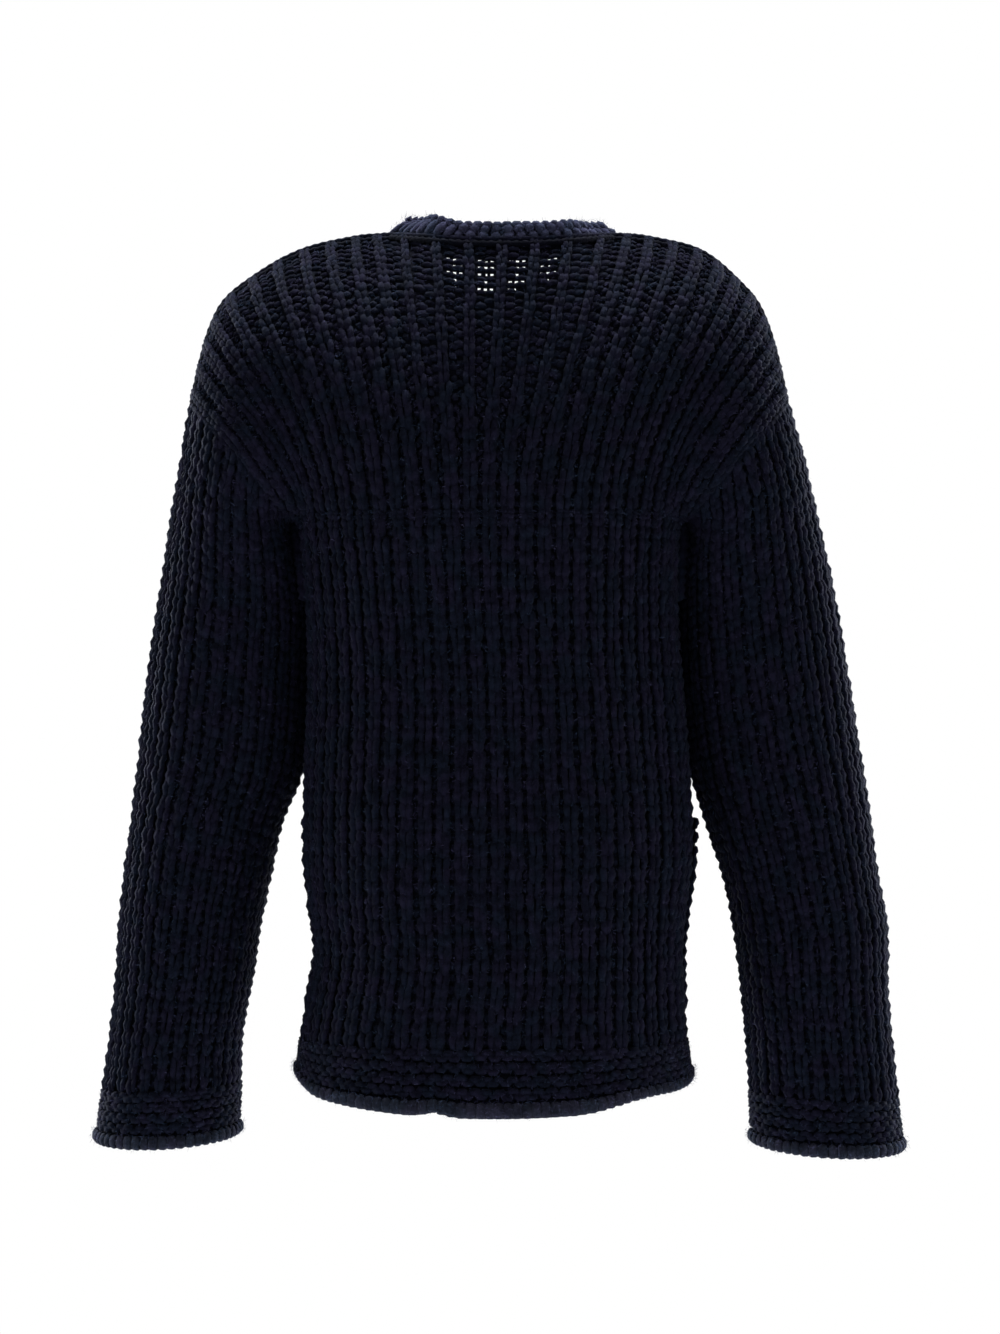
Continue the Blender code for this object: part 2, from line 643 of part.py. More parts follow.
def principled(name, colour, roughness):
    """Principled material of the yarn or of the buttons."""
    material = bpy.data.materials.new(name)
    material.use_nodes = True
    shader = material.node_tree.nodes["Principled BSDF"]
    shader.inputs["Base Color"].default_value = (*colour, 1.0)
    shader.inputs["Roughness"].default_value = roughness
    shader.inputs["Metallic"].default_value = 0.0
    material.diffuse_color = (*colour, 1.0)
    return material


# ---------------------------------------------------------------- the pieces
def front_point(side, across, row):
    """Base surface of a front, eased over or under the other one near its band."""
    out = panel_out("front", across, row)
    return panel_point("front", across, row) + lap(side, across) * out


def panel_levels(gap_below, gap_above):
    """Rows of a panel, from the hem band to its top edge, cut back at both seams."""
    levels = list(BODY_LEVELS) + [1.0 + (k + 1) / YOKE_ROWS for k in range(YOKE_ROWS)]
    levels[0] += gap_below
    levels[-1] -= gap_above
    return levels


def front_columns():
    gap = SEAM_GAP / 2 / FRONT_WIDTH
    return rib_columns(gap, 1 - gap, FRONT_RIBS)


def add_back(finish):
    gap = SEAM_GAP / 2 / FRONT_WIDTH
    ribbed_wall("back", lambda u, v: panel_point("back", u, v), lambda u, v: panel_out("back", u, v),
                rib_columns(-1 + gap, 1 - gap, BACK_RIBS), panel_levels(GAP_BELOW, GAP_ABOVE), finish)
    garter_band("hem_back", lambda u, v: body_point("back", u, -v - GAP_HEM),
                lambda u: panel_out("back", u, 0.0),
                np.linspace(-1 + gap, 1 - gap, BAND_COLUMNS + 1), finish)


def add_front(label, side, finish):
    gap = SEAM_GAP / 2 / FRONT_WIDTH
    ribbed_wall("front_" + label, lambda u, v: front_point(side, front_across(side, u), v),
                lambda u, v: panel_out("front", front_across(side, u), v),
                front_columns(), panel_levels(GAP_BELOW, GAP_ABOVE), finish)

    def hem_out(share):
        return panel_out("front", front_across(side, share), 0.0)

    def hem_point(share, down):
        across = front_across(side, share)
        return body_point("front", across, -down - GAP_HEM) + lap(side, across) * hem_out(share)

    garter_band("hem_front_" + label, hem_point, hem_out,
                np.linspace(gap, 1 - gap, BAND_COLUMNS // 2 + 1), finish)


def add_front_band(name, side, finish):
    """Lengthwise band of one front, from the hem to the neck seam."""
    seam = side * (BAND_SHARE - SEAM_GAP / 2 / FRONT_WIDTH)
    levels = [-1.0, -0.5] + panel_levels(0.0, GAP_ABOVE)

    def out(across, row):
        return panel_out("front", across, max(row, 0.0))

    def point(across, row):
        return panel_point("front", across, row) + lap(side, across) * out(across, row)

    ribbed_wall(name, point, out, rib_columns(-side * BAND_SHARE, seam, BAND_RIBS), levels, finish)


def add_sleeve(label, side, finish):
    levels = [SEAM_GAP / 0.60] + list(SLEEVE_LEVELS[1:-1]) + [1.0 - SEAM_GAP / 2 / 0.55]
    ribbed_wall("sleeve_" + label, lambda u, v: sleeve_point(side, u, v),
                lambda u, v: sleeve_out(side, u, v),
                rib_columns(0, SLEEVE_RIBS, SLEEVE_RIBS, closed=True), levels, finish, closed=True)
    garter_band("cuff_" + label, lambda u, v: cuff_point(side, u, v),
                lambda u: sleeve_out(side, u, 1.0),
                np.linspace(0, SLEEVE_RIBS, CUFF_COLUMNS, endpoint=False), finish, closed=True)


def add_neckband(finish):
    ribbed_wall("neckband", neckband_point, neckband_out,
                rib_columns(0, 1, NECK_RIBS, tops=(0.5,)), (0.0, 0.5, 1.0), finish)


def add_pocket(label, side, finish):
    """Patch pocket, made from the front's own points moved out."""
    gape = RIGHT_POCKET_GAPE if side == RIGHT else 0.0
    first, last = (3 * rib for rib in POCKET_RIBS)
    columns = front_columns()[first:last + 1]
    levels = [row for row in BODY_LEVELS if POCKET_ROWS[0] <= row <= POCKET_ROWS[1]]
    outer, inner = [], []
    for share, lift, _ in columns:
        across = front_across(side, share)
        to_side = ease((share - columns[0][0]) / (columns[-1][0] - columns[0][0]))
        outer.append([])
        inner.append([])
        for row in levels:
            away = panel_out("front", across, row)
            to_top = ease((row - levels[0]) / (levels[-1] - levels[0]))
            clear = WALL + RIB_RISE * lift + SEAM_GAP + gape * to_side * to_top
            place = front_point(side, across, row)
            inner[-1].append(place + away * clear)
            outer[-1].append(place + away * (clear + POCKET_WALL))
    add_wall("pocket_" + label, outer, inner, list(range(len(columns))), False, finish)


def add_buttons(finish):
    """Buttons in a row on the upper band, evenly spaced along it."""
    rows = np.linspace(0.0, 2.0, 121)
    lengths = chord_lengths(np.array([panel_point("front", 0.0, row) for row in rows]))
    places = np.linspace(BUTTON_FROM_HEM, lengths[-1] - BUTTON_FROM_NECK, BUTTONS)
    profile = [(BUTTON_RADIUS * radius, BUTTON_THICKNESS * height)
               for radius, height in ((0.86, 0.0), (1.0, 0.45), (0.90, 1.0), (0.70, 0.78))]
    for number, at in enumerate(places, 1):
        row = float(np.interp(at, lengths, rows))
        axis = panel_out("front", 0.0, row)
        clear = BAND_LAP + WALL + RIB_RISE + SEAM_GAP
        turned_disc(f"button_{number}", profile, BUTTON_SIDES,
                    panel_point("front", 0.0, row) + axis * clear, axis, finish)


def build():
    for old in list(bpy.data.objects):
        bpy.data.objects.remove(old, do_unlink=True)
    yarn = principled("navy_yarn", (0.010, 0.012, 0.022), 0.9)
    horn = principled("dark_button", (0.012, 0.012, 0.016), 0.35)
    add_back(yarn)
    for label, side in (("left", LEFT), ("right", RIGHT)):
        add_front(label, side, yarn)
        add_sleeve(label, side, yarn)
        add_pocket(label, side, yarn)
    add_front_band("button_band", LEFT, yarn)
    add_front_band("buttonhole_band", RIGHT, yarn)
    add_neckband(yarn)
    add_buttons(horn)


build()
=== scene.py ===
"""Looks of the chunky rib-knit cardigan: every stitch of the knit, its bands and its buttons.

Metres, +Z up.  The front faces -Y and the back +Y; +X is the wearer's left.  Each piece lies
on the base surface of its CAD node.  A thin cloth shell follows that surface, coloured darker
than the yarn as painted shade in the gaps between stitches, and the yarn of the stitches lies
on the shell: a pair of legs for a knit stitch, a bar or two bumps for a purl stitch, arcs for
garter ridges.  Fine fibres stand off it as the yarn's nap.
"""
import math
from collections import namedtuple
from functools import lru_cache

import bpy
import numpy as np
from mathutils import Matrix


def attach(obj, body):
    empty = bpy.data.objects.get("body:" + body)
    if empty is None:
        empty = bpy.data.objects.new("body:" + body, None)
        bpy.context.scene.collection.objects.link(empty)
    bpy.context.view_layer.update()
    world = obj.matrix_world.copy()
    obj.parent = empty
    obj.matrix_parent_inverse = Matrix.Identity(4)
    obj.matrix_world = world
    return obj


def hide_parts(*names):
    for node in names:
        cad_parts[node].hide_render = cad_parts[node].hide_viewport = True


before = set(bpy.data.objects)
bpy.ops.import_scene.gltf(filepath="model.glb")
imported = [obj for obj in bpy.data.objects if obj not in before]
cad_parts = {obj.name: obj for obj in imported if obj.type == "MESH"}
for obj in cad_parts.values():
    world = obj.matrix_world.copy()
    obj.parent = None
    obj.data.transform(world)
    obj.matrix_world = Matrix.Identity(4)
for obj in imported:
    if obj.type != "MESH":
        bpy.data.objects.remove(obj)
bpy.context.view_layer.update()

# ---------------------------------------------------------------- driving dimensions
WALL = 0.0028             # knit wall up to the bottom of a groove
RIB_RISE = 0.0032         # height of a rib above the grooves
SEAM_GAP = 0.0004

BACK_RIBS = 29
FRONT_RIBS = 14
SHOULDER_RIBS = 11
SLEEVE_RIBS = 28
NECK_STITCHES = 62        # round the neckband
NECK_RIB_SLANT = 1.5      # how far its ribs lean over on the shoulders, in ribs
LONG_RIB_SLANT = 1.0      # past this lean a rib climbs the band in one

HEM_TOP = -0.622
HEM_DEPTH_SIDE = 0.029
HEM_DEPTH_BACK = 0.053
HEM_DEPTH_FRONT = 0.044
CUFF_DEPTH = 0.042
CUFF_SAG = 0.005
GARTER_RIDGES = 4
RIDGES_SHARE = 0.74
ROLL_STRANDS = 1.4        # of the rolled edge to each garter stitch
# Where the hem's edge rides up: the middle across, half the width and the rise of each place.
HEM_LIFTS = ((0.156, 0.022, 0.0065), (0.047, 0.016, 0.0040), (-0.113, 0.052, 0.0060))

UNDERARM_Z = -0.2085
ARCH_RADIUS = 0.0120
ARCH_SPREAD = 0.22
ARCH_ROWS = 0.07
ARM_REACH = 0.080

BAND_HALF = 0.016
BAND_LAP = 0.0035
LAP_FADE = 0.040
NECKBAND_HEIGHT = 0.015
NECKBAND_LEAN = 0.30
NECKBAND_SIDE_LEAN = 1.1
LEAN_FROM, LEAN_FADE = 0.046, 0.034
NECKBAND_LEFT_RISE = 0.0055
LEFT_RISE_FROM, LEFT_RISE_FADE = 0.028, 0.032
NECKBAND_GAP = 0.0005
FRONT_WIDTH = 0.198
BAND_SHARE = BAND_HALF / FRONT_WIDTH
NECK_MIDDLE = -0.015
NECK_SLANT = 0.8
NECK_FADE = 0.12
SEAM_FADE = 0.16
SLEEVE_SEAM_FADE = 0.10
RIB_SLOPE_STEP = 0.03     # step below the underarm that gives a rib's slope there
RIB_HANDLE = 0.34         # length of its curve's lower handle, as a share of its span
RIB_EDGE_FROM = 0.66      # where across the ribs start to lean on to the arm

BUTTONS = 6
BUTTON_FROM_HEM = 0.020
BUTTON_FROM_NECK = 0.020

POCKET_ROWS = (0.05, 0.40)
POCKET_RIBS = (3, 13)
RIGHT_POCKET_GAPE = 0.0030

LOW_STITCHES = 44         # rows of stitches between the hem band and the underarm
YOKE_STITCHES = 29        # and from there up to the shoulder seam
YOKE_ROW_SHRINK = 0.65    # height of the highest row as a share of the lowest in the yoke
SLEEVE_STITCHES = 56
STITCH_WIDTH = 0.0092     # of a garter stitch along a band

COLUMN_SHARE = 0.39       # half a knit column's width, as a share of the pitch of its ribs
COLUMN_HALF = 0.0056      # and at most this much
STRETCHED_HALF = 0.0042   # half its width where the knit is stretched
STRETCH_FROM, STRETCH_TO = 0.0155, 0.0215      # pitches where that begins and is full

Torso = namedtuple("Torso", "height half_width shift back front")
TORSO = (
    Torso(-0.6750, 0.1515, 0.0020, 0.1120, 0.1130),
    Torso(-0.6500, 0.1500, 0.0024, 0.1110, 0.1125),
    Torso(-0.6220, 0.1470, 0.0024, 0.1090, 0.1120),
    Torso(-0.5925, 0.1432, 0.0010, 0.1080, 0.1120),
    Torso(-0.5500, 0.1390, -0.0018, 0.1065, 0.1115),
    Torso(-0.5150, 0.1432, -0.0008, 0.1050, 0.1110),
    Torso(-0.4700, 0.1475, -0.0010, 0.1020, 0.1095),
    Torso(-0.4100, 0.1465, 0.0000, 0.0970, 0.1065),
    Torso(-0.3550, 0.1430, 0.0010, 0.0945, 0.1050),
    Torso(-0.3050, 0.1410, 0.0030, 0.0960, 0.1065),
    Torso(-0.2600, 0.1420, 0.0050, 0.1000, 0.1100),
    Torso(-0.2085, 0.1455, 0.0060, 0.1050, 0.1130),
)
TORSO_ROUNDNESS = 2.35

TopEdge = namedtuple("TopEdge", "across height depth reach drop")
NECK_SIDE = TopEdge(0.0860, 0.0092, 0.0060, 0.078, 0.045)
BACK_NECK = (
    TopEdge(0.0000, 0.0004, 0.0580, 0.042, 0.060),
    TopEdge(0.0300, 0.0014, 0.0540, 0.045, 0.059),
    TopEdge(0.0600, 0.0050, 0.0370, 0.058, 0.054),
    NECK_SIDE,
)
FRONT_NECK = (
    TopEdge(0.0000, -0.0480, -0.0880, 0.022, 0.060),
    TopEdge(0.0350, -0.0420, -0.0790, 0.030, 0.060),
    TopEdge(0.0650, -0.0230, -0.0500, 0.050, 0.056),
    NECK_SIDE,
)
SHOULDER = (
    NECK_SIDE,
    TopEdge(0.1200, 0.0052, -0.0060, 0.092, 0.040),
    TopEdge(0.1570, -0.0040, -0.0100, 0.096, 0.036),
    TopEdge(0.1885, -0.0245, -0.0120, 0.096, 0.030),
    TopEdge(0.2080, -0.0434, -0.0120, 0.092, 0.024),
    TopEdge(0.2165, -0.0616, -0.0110, 0.088, 0.018),
    TopEdge(0.2222, -0.0810, -0.0090, 0.084, 0.010),
    TopEdge(0.2316, -0.1235, -0.0070, ARM_REACH, 0.0),
)
NECK_SHIFT = -0.004
SHOULDER_SHIFT = 0.006
SHIFT_FROM = 0.140
SHIFT_FADE = 0.080

Ring = namedtuple("Ring", "height tilt left_out left_in right_out right_in depth half_depth")
SLEEVE = (
    Ring(-0.1978, 0.0571, 0.2454, 0.1662, 0.2391, 0.1552, -0.0110, 0.0595),
    Ring(-0.2292, 0.0445, 0.2529, 0.1605, 0.2485, 0.1512, -0.0210, 0.0590),
    Ring(-0.2657, 0.0335, 0.2598, 0.1550, 0.2590, 0.1490, -0.0320, 0.0580),
    Ring(-0.3203, 0.0247, 0.2697, 0.1540, 0.2705, 0.1495, -0.0370, 0.0580),
    Ring(-0.3638, 0.0176, 0.2758, 0.1550, 0.2782, 0.1535, -0.0390, 0.0585),
    Ring(-0.4077, 0.0096, 0.2808, 0.1605, 0.2860, 0.1610, -0.0410, 0.0590),
    Ring(-0.4493, 0.0064, 0.2861, 0.1770, 0.2929, 0.1735, -0.0420, 0.0580),
    Ring(-0.4882, 0.0024, 0.2915, 0.1851, 0.2983, 0.1855, -0.0440, 0.0560),
    Ring(-0.5280, 0.0008, 0.2965, 0.1933, 0.3065, 0.1940, -0.0470, 0.0540),
    Ring(-0.5790, -0.0024, 0.3001, 0.2011, 0.3077, 0.2005, -0.0510, 0.0520),
    Ring(-0.6262, -0.0048, 0.3056, 0.2097, 0.3120, 0.2053, -0.0550, 0.0505),
    Ring(-0.6639, -0.0072, 0.3112, 0.2112, 0.3164, 0.2075, -0.0590, 0.0510),
)
RIGHT_SLEEVE_LONGER = 0.007

UP = np.array((0.0, 0.0, 1.0))
BACKWARD = np.array((0.0, 1.0, 0.0))
LEFT, RIGHT = 1.0, -1.0
RANDOM = np.random.default_rng(7)


# ---------------------------------------------------------------- small mathematics
def unit(vector):
    return vector / max(np.linalg.norm(vector), 1e-12)


def units(vectors):
    return vectors / np.maximum(np.linalg.norm(vectors, axis=-1, keepdims=True), 1e-12)


def ease(x):
    """Smooth step from 0 to 1."""
    x = np.clip(x, 0.0, 1.0)
    return x * x * (3.0 - 2.0 * x)


def spline(knots, rows, x):
    """Point at x of the smooth curve through the rows, which stand at rising knots."""
    knots = np.asarray(knots, float)
    rows = np.asarray(rows, float)
    steps = np.diff(knots)
    rates = np.diff(rows, axis=0) / steps[:, None]
    slopes = np.empty_like(rows)
    slopes[0], slopes[-1] = rates[0], rates[-1]
    before, after = steps[:-1, None], steps[1:, None]
    slopes[1:-1] = (rates[:-1] * after + rates[1:] * before) / (before + after)
    i = int(np.clip(np.searchsorted(knots, x) - 1, 0, len(knots) - 2))
    t = (x - knots[i]) / steps[i]
    return ((1 + 2 * t) * (1 - t) ** 2 * rows[i] + t * t * (3 - 2 * t) * rows[i + 1]
            + steps[i] * (t * (1 - t) ** 2 * slopes[i] - t * t * (1 - t) * slopes[i + 1]))


def chord_lengths(points):
    """Distance along a run of points, from the first one."""
    steps = np.linalg.norm(np.diff(points, axis=0), axis=1)
    return np.concatenate(((0.0,), np.cumsum(steps)))


def read_off(lengths, rows, at):
    """Row, or rows, at lengths along a run of rows."""
    return np.array([np.interp(at, lengths, column) for column in rows.T]).T


def bezier(ends, t):
    """Point of the cubic curve with the four control points."""
    a, b, c, d = ends
    s = 1.0 - t
    return s ** 3 * a + 3 * s * s * t * b + 3 * s * t * t * c + t ** 3 * d


# ---------------------------------------------------------------- body below the arms
@lru_cache(maxsize=None)
def half_section(face, height):
    """One half of the body's section, from the right side seam to the left one."""
    half_width, shift, back, front = spline([t.height for t in TORSO],
                                            [t[1:] for t in TORSO], height)
    reach = back if face == "back" else -front
    angles = np.linspace(math.pi, 0.0, 97)
    power = 2.0 / TORSO_ROUNDNESS
    x = shift + half_width * np.sign(np.cos(angles)) * np.abs(np.cos(angles)) ** power
    y = reach * np.abs(np.sin(angles)) ** power
    points = np.stack((x, y, np.full_like(x, height)), axis=1)
    return chord_lengths(points), points


def section_point(face, across, height):
    """Point of the section; across runs from -1, the right side seam, to 1, the left."""
    lengths, points = half_section(face, round(float(height), 6))
    return read_off(lengths, points, 0.5 * (across + 1.0) * lengths[-1])


def hem_depth(face, across):
    middle = HEM_DEPTH_BACK if face == "back" else HEM_DEPTH_FRONT
    return HEM_DEPTH_SIDE + (middle - HEM_DEPTH_SIDE) * (1.0 - across * across)


def body_point(face, across, row):
    """Base surface below the arms: row -1 is the hem, 0 the hem band's top, 1 the underarm."""
    if row <= 0.0:
        return section_point(face, across, HEM_TOP + row * hem_depth(face, across))
    arch_foot = UNDERARM_Z - ARCH_RADIUS
    if row <= 1.0 - ARCH_ROWS:
        share = row / (1.0 - ARCH_ROWS)
        return section_point(face, across, HEM_TOP + (arch_foot - HEM_TOP) * share)
    turn = 0.5 * math.pi * (row - 1.0 + ARCH_ROWS) / ARCH_ROWS
    point = section_point(face, across, arch_foot + ARCH_RADIUS * math.sin(turn))
    bend = ease((abs(across) - 1.0 + ARCH_SPREAD) / ARCH_SPREAD)
    point[0] += math.copysign(ARCH_RADIUS * (1.0 - math.cos(turn)) * bend, across)
    return point


# ---------------------------------------------------------------- yoke above the underarm
@lru_cache(maxsize=None)
def shoulder_table():
    rows = np.array(SHOULDER)
    knots = chord_lengths(rows[:, :3])
    curve = np.array([spline(knots, rows, k) for k in np.linspace(0.0, knots[-1], 121)])
    return chord_lengths(curve[:, :3]), curve


def neck_row(face, across):
    rows = np.array(BACK_NECK if face == "back" else FRONT_NECK)
    return spline(rows[:, 0], rows, across)


def corner_share(face):
    """Share of a panel's half width where its neck ends and its shoulder starts."""
    if face == "back":
        return 1.0 - 2.0 * SHOULDER_RIBS / BACK_RIBS
    return BAND_SHARE + (1.0 - BAND_SHARE) * (1.0 - SHOULDER_RIBS / FRONT_RIBS)


def top_row(face, share):
    """Row of a panel's top edge at a share of its half width."""
    corner = corner_share(face)
    if share >= corner:
        lengths, curve = shoulder_table()
        return read_off(lengths, curve, (share - corner) / (1.0 - corner) * lengths[-1])
    if face == "back":
        return neck_row(face, NECK_SIDE.across * share / corner)
    return neck_row(face, np.interp(share, (0.0, BAND_SHARE, corner),
                                    (0.0, BAND_HALF, NECK_SIDE.across)))


def top_edge(face, across):
    """Point of a panel's top edge and the handle of the rib that ends there."""
    out, height, depth, reach, drop = top_row(face, abs(across))
    side = math.copysign(1.0, across)
    shift = NECK_SHIFT + (SHOULDER_SHIFT - NECK_SHIFT) * ease((out - SHIFT_FROM) / SHIFT_FADE)
    turn = 1.0 if face == "back" else -1.0
    return (np.array((side * out + shift, depth, height)),
            np.array((0.0, turn * reach, -drop)))


@lru_cache(maxsize=None)
def rib_curve(face, across):
    """The line of one rib over the yoke, from the underarm row up to the top edge."""
    start = body_point(face, across, 1.0)
    below = section_point(face, across, UNDERARM_Z - RIB_SLOPE_STEP)
    level = section_point(face, across, UNDERARM_Z)
    end, end_handle = top_edge(face, across)
    length = RIB_HANDLE * np.linalg.norm(end - start)
    turn = 1.0 if face == "back" else -1.0
    edge = ease((abs(across) - RIB_EDGE_FROM) / (1.0 - RIB_EDGE_FROM))
    handle = unit(level - below) * length * (1.0 - edge) + turn * BACKWARD * ARM_REACH * edge
    controls = (start, start + handle, end + end_handle, end)
    points = np.array([bezier(controls, t) for t in np.linspace(0.0, 1.0, 41)])
    return chord_lengths(points), points


def panel_point(face, across, row):
    """Base surface of a panel: rows 0 to 1 below the underarm, 1 to 2 above it."""
    if row <= 1.0:
        return body_point(face, across, row)
    lengths, points = rib_curve(face, round(float(across), 6))
    return read_off(lengths, points, (row - 1.0) * lengths[-1])


# ---------------------------------------------------------------- which way is out
def surface_normal(surface, u, v, step_u=0.012, step_v=0.02, u_ends=(-1, 1), v_ends=(0, 2)):
    """Normal of a base surface by differences kept inside its ends, not yet turned outward."""
    u0, u1 = max(u - step_u, u_ends[0]), min(u + step_u, u_ends[1])
    v0, v1 = max(v - step_v, v_ends[0]), min(v + step_v, v_ends[1])
    return unit(np.cross(surface(u1, v) - surface(u0, v), surface(u, v1) - surface(u, v0)))


def armhole_out(side, climb, turn):
    """Shared lift along an armhole: climb is 0 under the arm and 1 on its outer side."""
    angle = math.pi * climb
    outer = np.array((side * 0.95, 0.0, 0.30)) * max(-math.cos(angle), 0.0)
    under = -UP * max(math.cos(angle), 0.0)
    return unit(outer + under + turn * BACKWARD * math.sin(angle))


def neck_radial(point):
    return unit(np.array((point[0] - NECK_SHIFT, point[1] - NECK_MIDDLE, 0.0)))


def neck_out(point):
    """Shared lift of the panels and the neckband round the neck."""
    return unit(neck_radial(point) + NECK_SLANT * UP)


def top_edge_out(face, across):
    """Shared lift along the shoulder seam and round the neck."""
    side = math.copysign(1.0, across)
    corner = corner_share(face)
    here, _ = top_edge(face, across)
    if abs(across) <= corner:
        return neck_out(here)
    step = 0.01
    near, _ = top_edge(face, side * max(abs(across) - step, corner))
    far, _ = top_edge(face, side * min(abs(across) + step, 1.0))
    shoulder = unit(np.cross(unit(far - near) * side, BACKWARD))
    blend = ease((abs(across) - corner) / NECK_FADE)
    return unit(neck_out(here) * (1.0 - blend) + shoulder * blend)


def panel_out(face, across, row):
    """Outward lift of a panel, eased into the shared lift at its armhole and top edge."""
    turn = 1.0 if face == "back" else -1.0
    normal = -turn * surface_normal(lambda u, v: panel_point(face, u, v), across, row)
    if row <= 1.0 - ARCH_ROWS:
        return normal
    to_side = 1.0 - abs(across)
    to_top = 2.0 - row
    if row >= 1.0 and to_side < SEAM_FADE:
        side = math.copysign(1.0, across)
        seam = armhole_out(side, row - 1.0, turn)
        normal = unit(normal + (seam - normal) * ease(1.0 - to_side / SEAM_FADE))
    if to_top < SEAM_FADE:
        seam = top_edge_out(face, across)
        normal = unit(normal + (seam - normal) * ease(1.0 - to_top / SEAM_FADE))
    return normal


# ---------------------------------------------------------------- sleeves
@lru_cache(maxsize=None)
def sleeve_rings(side):
    """A sleeve's rings as rows: outermost x and z, innermost x and z, depth and half depth."""
    rings = []
    for ring in SLEEVE:
        outer, inner = ring.left_out, ring.left_in
        height = ring.height
        if side == RIGHT:
            outer, inner = ring.right_out, ring.right_in
            share = (SLEEVE[0].height - height) / (SLEEVE[0].height - SLEEVE[-1].height)
            height -= RIGHT_SLEEVE_LONGER * share
        rings.append((side * outer, height + ring.tilt / 2, side * inner, height - ring.tilt / 2,
                      ring.depth, ring.half_depth))
    return np.array(rings)


def ring_point(ring, climb, turn):
    """Point of a ring; climb runs from 0, its inner side, to 1, its outer side."""
    outer_x, outer_z, inner_x, inner_z, depth, half_depth = ring
    angles = np.linspace(0.0, math.pi, 49)
    share = 0.5 - 0.5 * np.cos(angles)
    points = np.stack((inner_x + (outer_x - inner_x) * share,
                       depth + turn * half_depth * np.sin(angles),
                       inner_z + (outer_z - inner_z) * share), axis=1)
    lengths = chord_lengths(points)
    return read_off(lengths, points, climb * lengths[-1])


def armhole_point(side, climb, turn):
    """Point of the armhole."""
    return panel_point("back" if turn > 0 else "front", side, 1.0 + climb)


@lru_cache(maxsize=None)
def sleeve_line(side, climb, turn):
    """One line down a sleeve, through the armhole and all its rings."""
    points = [armhole_point(side, climb, turn)]
    points += [ring_point(ring, climb, turn) for ring in sleeve_rings(side)]
    points = np.array(points)
    knots = chord_lengths(points)
    fine = np.array([spline(knots, points, k) for k in np.linspace(0.0, knots[-1], 81)])
    return chord_lengths(fine), fine


def round_place(column, columns):
    """Climb and turn of a column that goes round a sleeve from the underarm by the back."""
    around = (column / columns) % 1.0
    if around <= 0.5:
        return round(2.0 * around, 6), 1.0
    return round(2.0 - 2.0 * around, 6), -1.0


def sleeve_point(side, column, along):
    """Base surface of a sleeve: column counts ribs, along runs from 0 to 1 at the cuff."""
    climb, turn = round_place(column, SLEEVE_RIBS)
    lengths, points = sleeve_line(side, climb, turn)
    return read_off(lengths, points, along * lengths[-1])


def sleeve_out(side, column, along):
    """Outward lift of a sleeve, shared with the panels at the armhole."""
    column = column % SLEEVE_RIBS
    normal = side * surface_normal(lambda u, v: sleeve_point(side, u, v), column, along,
                                   0.35, 0.012, (-1, SLEEVE_RIBS + 1), (0, 1))
    climb, turn = round_place(column, SLEEVE_RIBS)
    seam = armhole_out(side, climb, turn)
    return unit(normal + (seam - normal) * ease(1.0 - along / SLEEVE_SEAM_FADE))


def cuff_point(side, column, share):
    """Base surface of a cuff, which carries on from its sleeve; share is 1 at its edge."""
    end = sleeve_point(side, column, 1.0)
    along = unit(end - sleeve_point(side, column, 0.97))
    climb, _ = round_place(column, SLEEVE_RIBS)
    depth = CUFF_DEPTH + CUFF_SAG * math.sin(math.pi * climb)
    return end + along * (SEAM_GAP / 2 + depth * share)


# ---------------------------------------------------------------- fronts' lap and neckband
def front_across(side, share):
    """Across of a front at a share of its width, 0 at its band and 1 at the side seam."""
    return side * (BAND_SHARE + (1.0 - BAND_SHARE) * share)


def lap(side, across):
    """Lift by which the right front and its band lie over the left."""
    fade = ease(1.0 - (abs(across) * FRONT_WIDTH - BAND_HALF) / LAP_FADE)
    return -side * BAND_LAP * fade


@lru_cache(maxsize=None)
def neck_ring():
    """The neck seam from under the lap round by the left to the lap's top, and its laps."""
    front_neck = np.linspace(0, FRONT_RIBS - SHOULDER_RIBS, 4 * (FRONT_RIBS - SHOULDER_RIBS) + 1)
    left = [BAND_SHARE * half / 2.0 for half in (-2, -1, 0, 1)]
    left += [front_across(LEFT, rib / FRONT_RIBS) for rib in front_neck]
    right = [-across for across in reversed(left)]
    neck_ribs = BACK_RIBS - 2 * SHOULDER_RIBS
    back_neck = SHOULDER_RIBS + np.linspace(neck_ribs, 0, 4 * neck_ribs + 1)[1:-1]
    back = [2.0 * rib / BACK_RIBS - 1.0 for rib in back_neck]
    rows = [np.append(top_edge("front", across)[0], lap(LEFT, across)) for across in left]
    rows += [np.append(top_edge("back", across)[0], 0.0) for across in back]
    rows += [np.append(top_edge("front", across)[0], lap(RIGHT, across)) for across in right]
    rows = np.array(rows)
    return chord_lengths(rows[:, :3]), rows


def neck_seam(share):
    """Point of the neck seam at a share of its length, and its lap."""
    lengths, rows = neck_ring()
    row = read_off(lengths, rows, share * lengths[-1])
    return row[:3], row[3]


def neckband_lean(point):
    """Inward lean of the neckband where it leaves a point of the neck seam."""
    sideways = ease((abs(point[0] - NECK_SHIFT) - LEAN_FROM) / LEAN_FADE)
    return NECKBAND_LEAN + (NECKBAND_SIDE_LEAN - NECKBAND_LEAN) * sideways


def neckband_out(share, climb):
    """Lift of the neckband: the panels' own at the seam, square to the band higher up."""
    point, _ = neck_seam(share)
    seam = neck_out(point)
    square = unit(neck_radial(point) + neckband_lean(point) * UP)
    return unit(seam + (square - seam) * ease(climb))


def neckband_point(share, climb):
    """Base surface of the neckband, at a share of its length and of its height."""
    point, shift = neck_seam(share)
    along = unit(UP - neckband_lean(point) * neck_radial(point))
    higher = NECKBAND_LEFT_RISE * ease((point[0] - LEFT_RISE_FROM) / LEFT_RISE_FADE)
    rise = NECKBAND_GAP + (NECKBAND_HEIGHT + higher) * climb
    return point + along * rise + neckband_out(share, climb) * shift


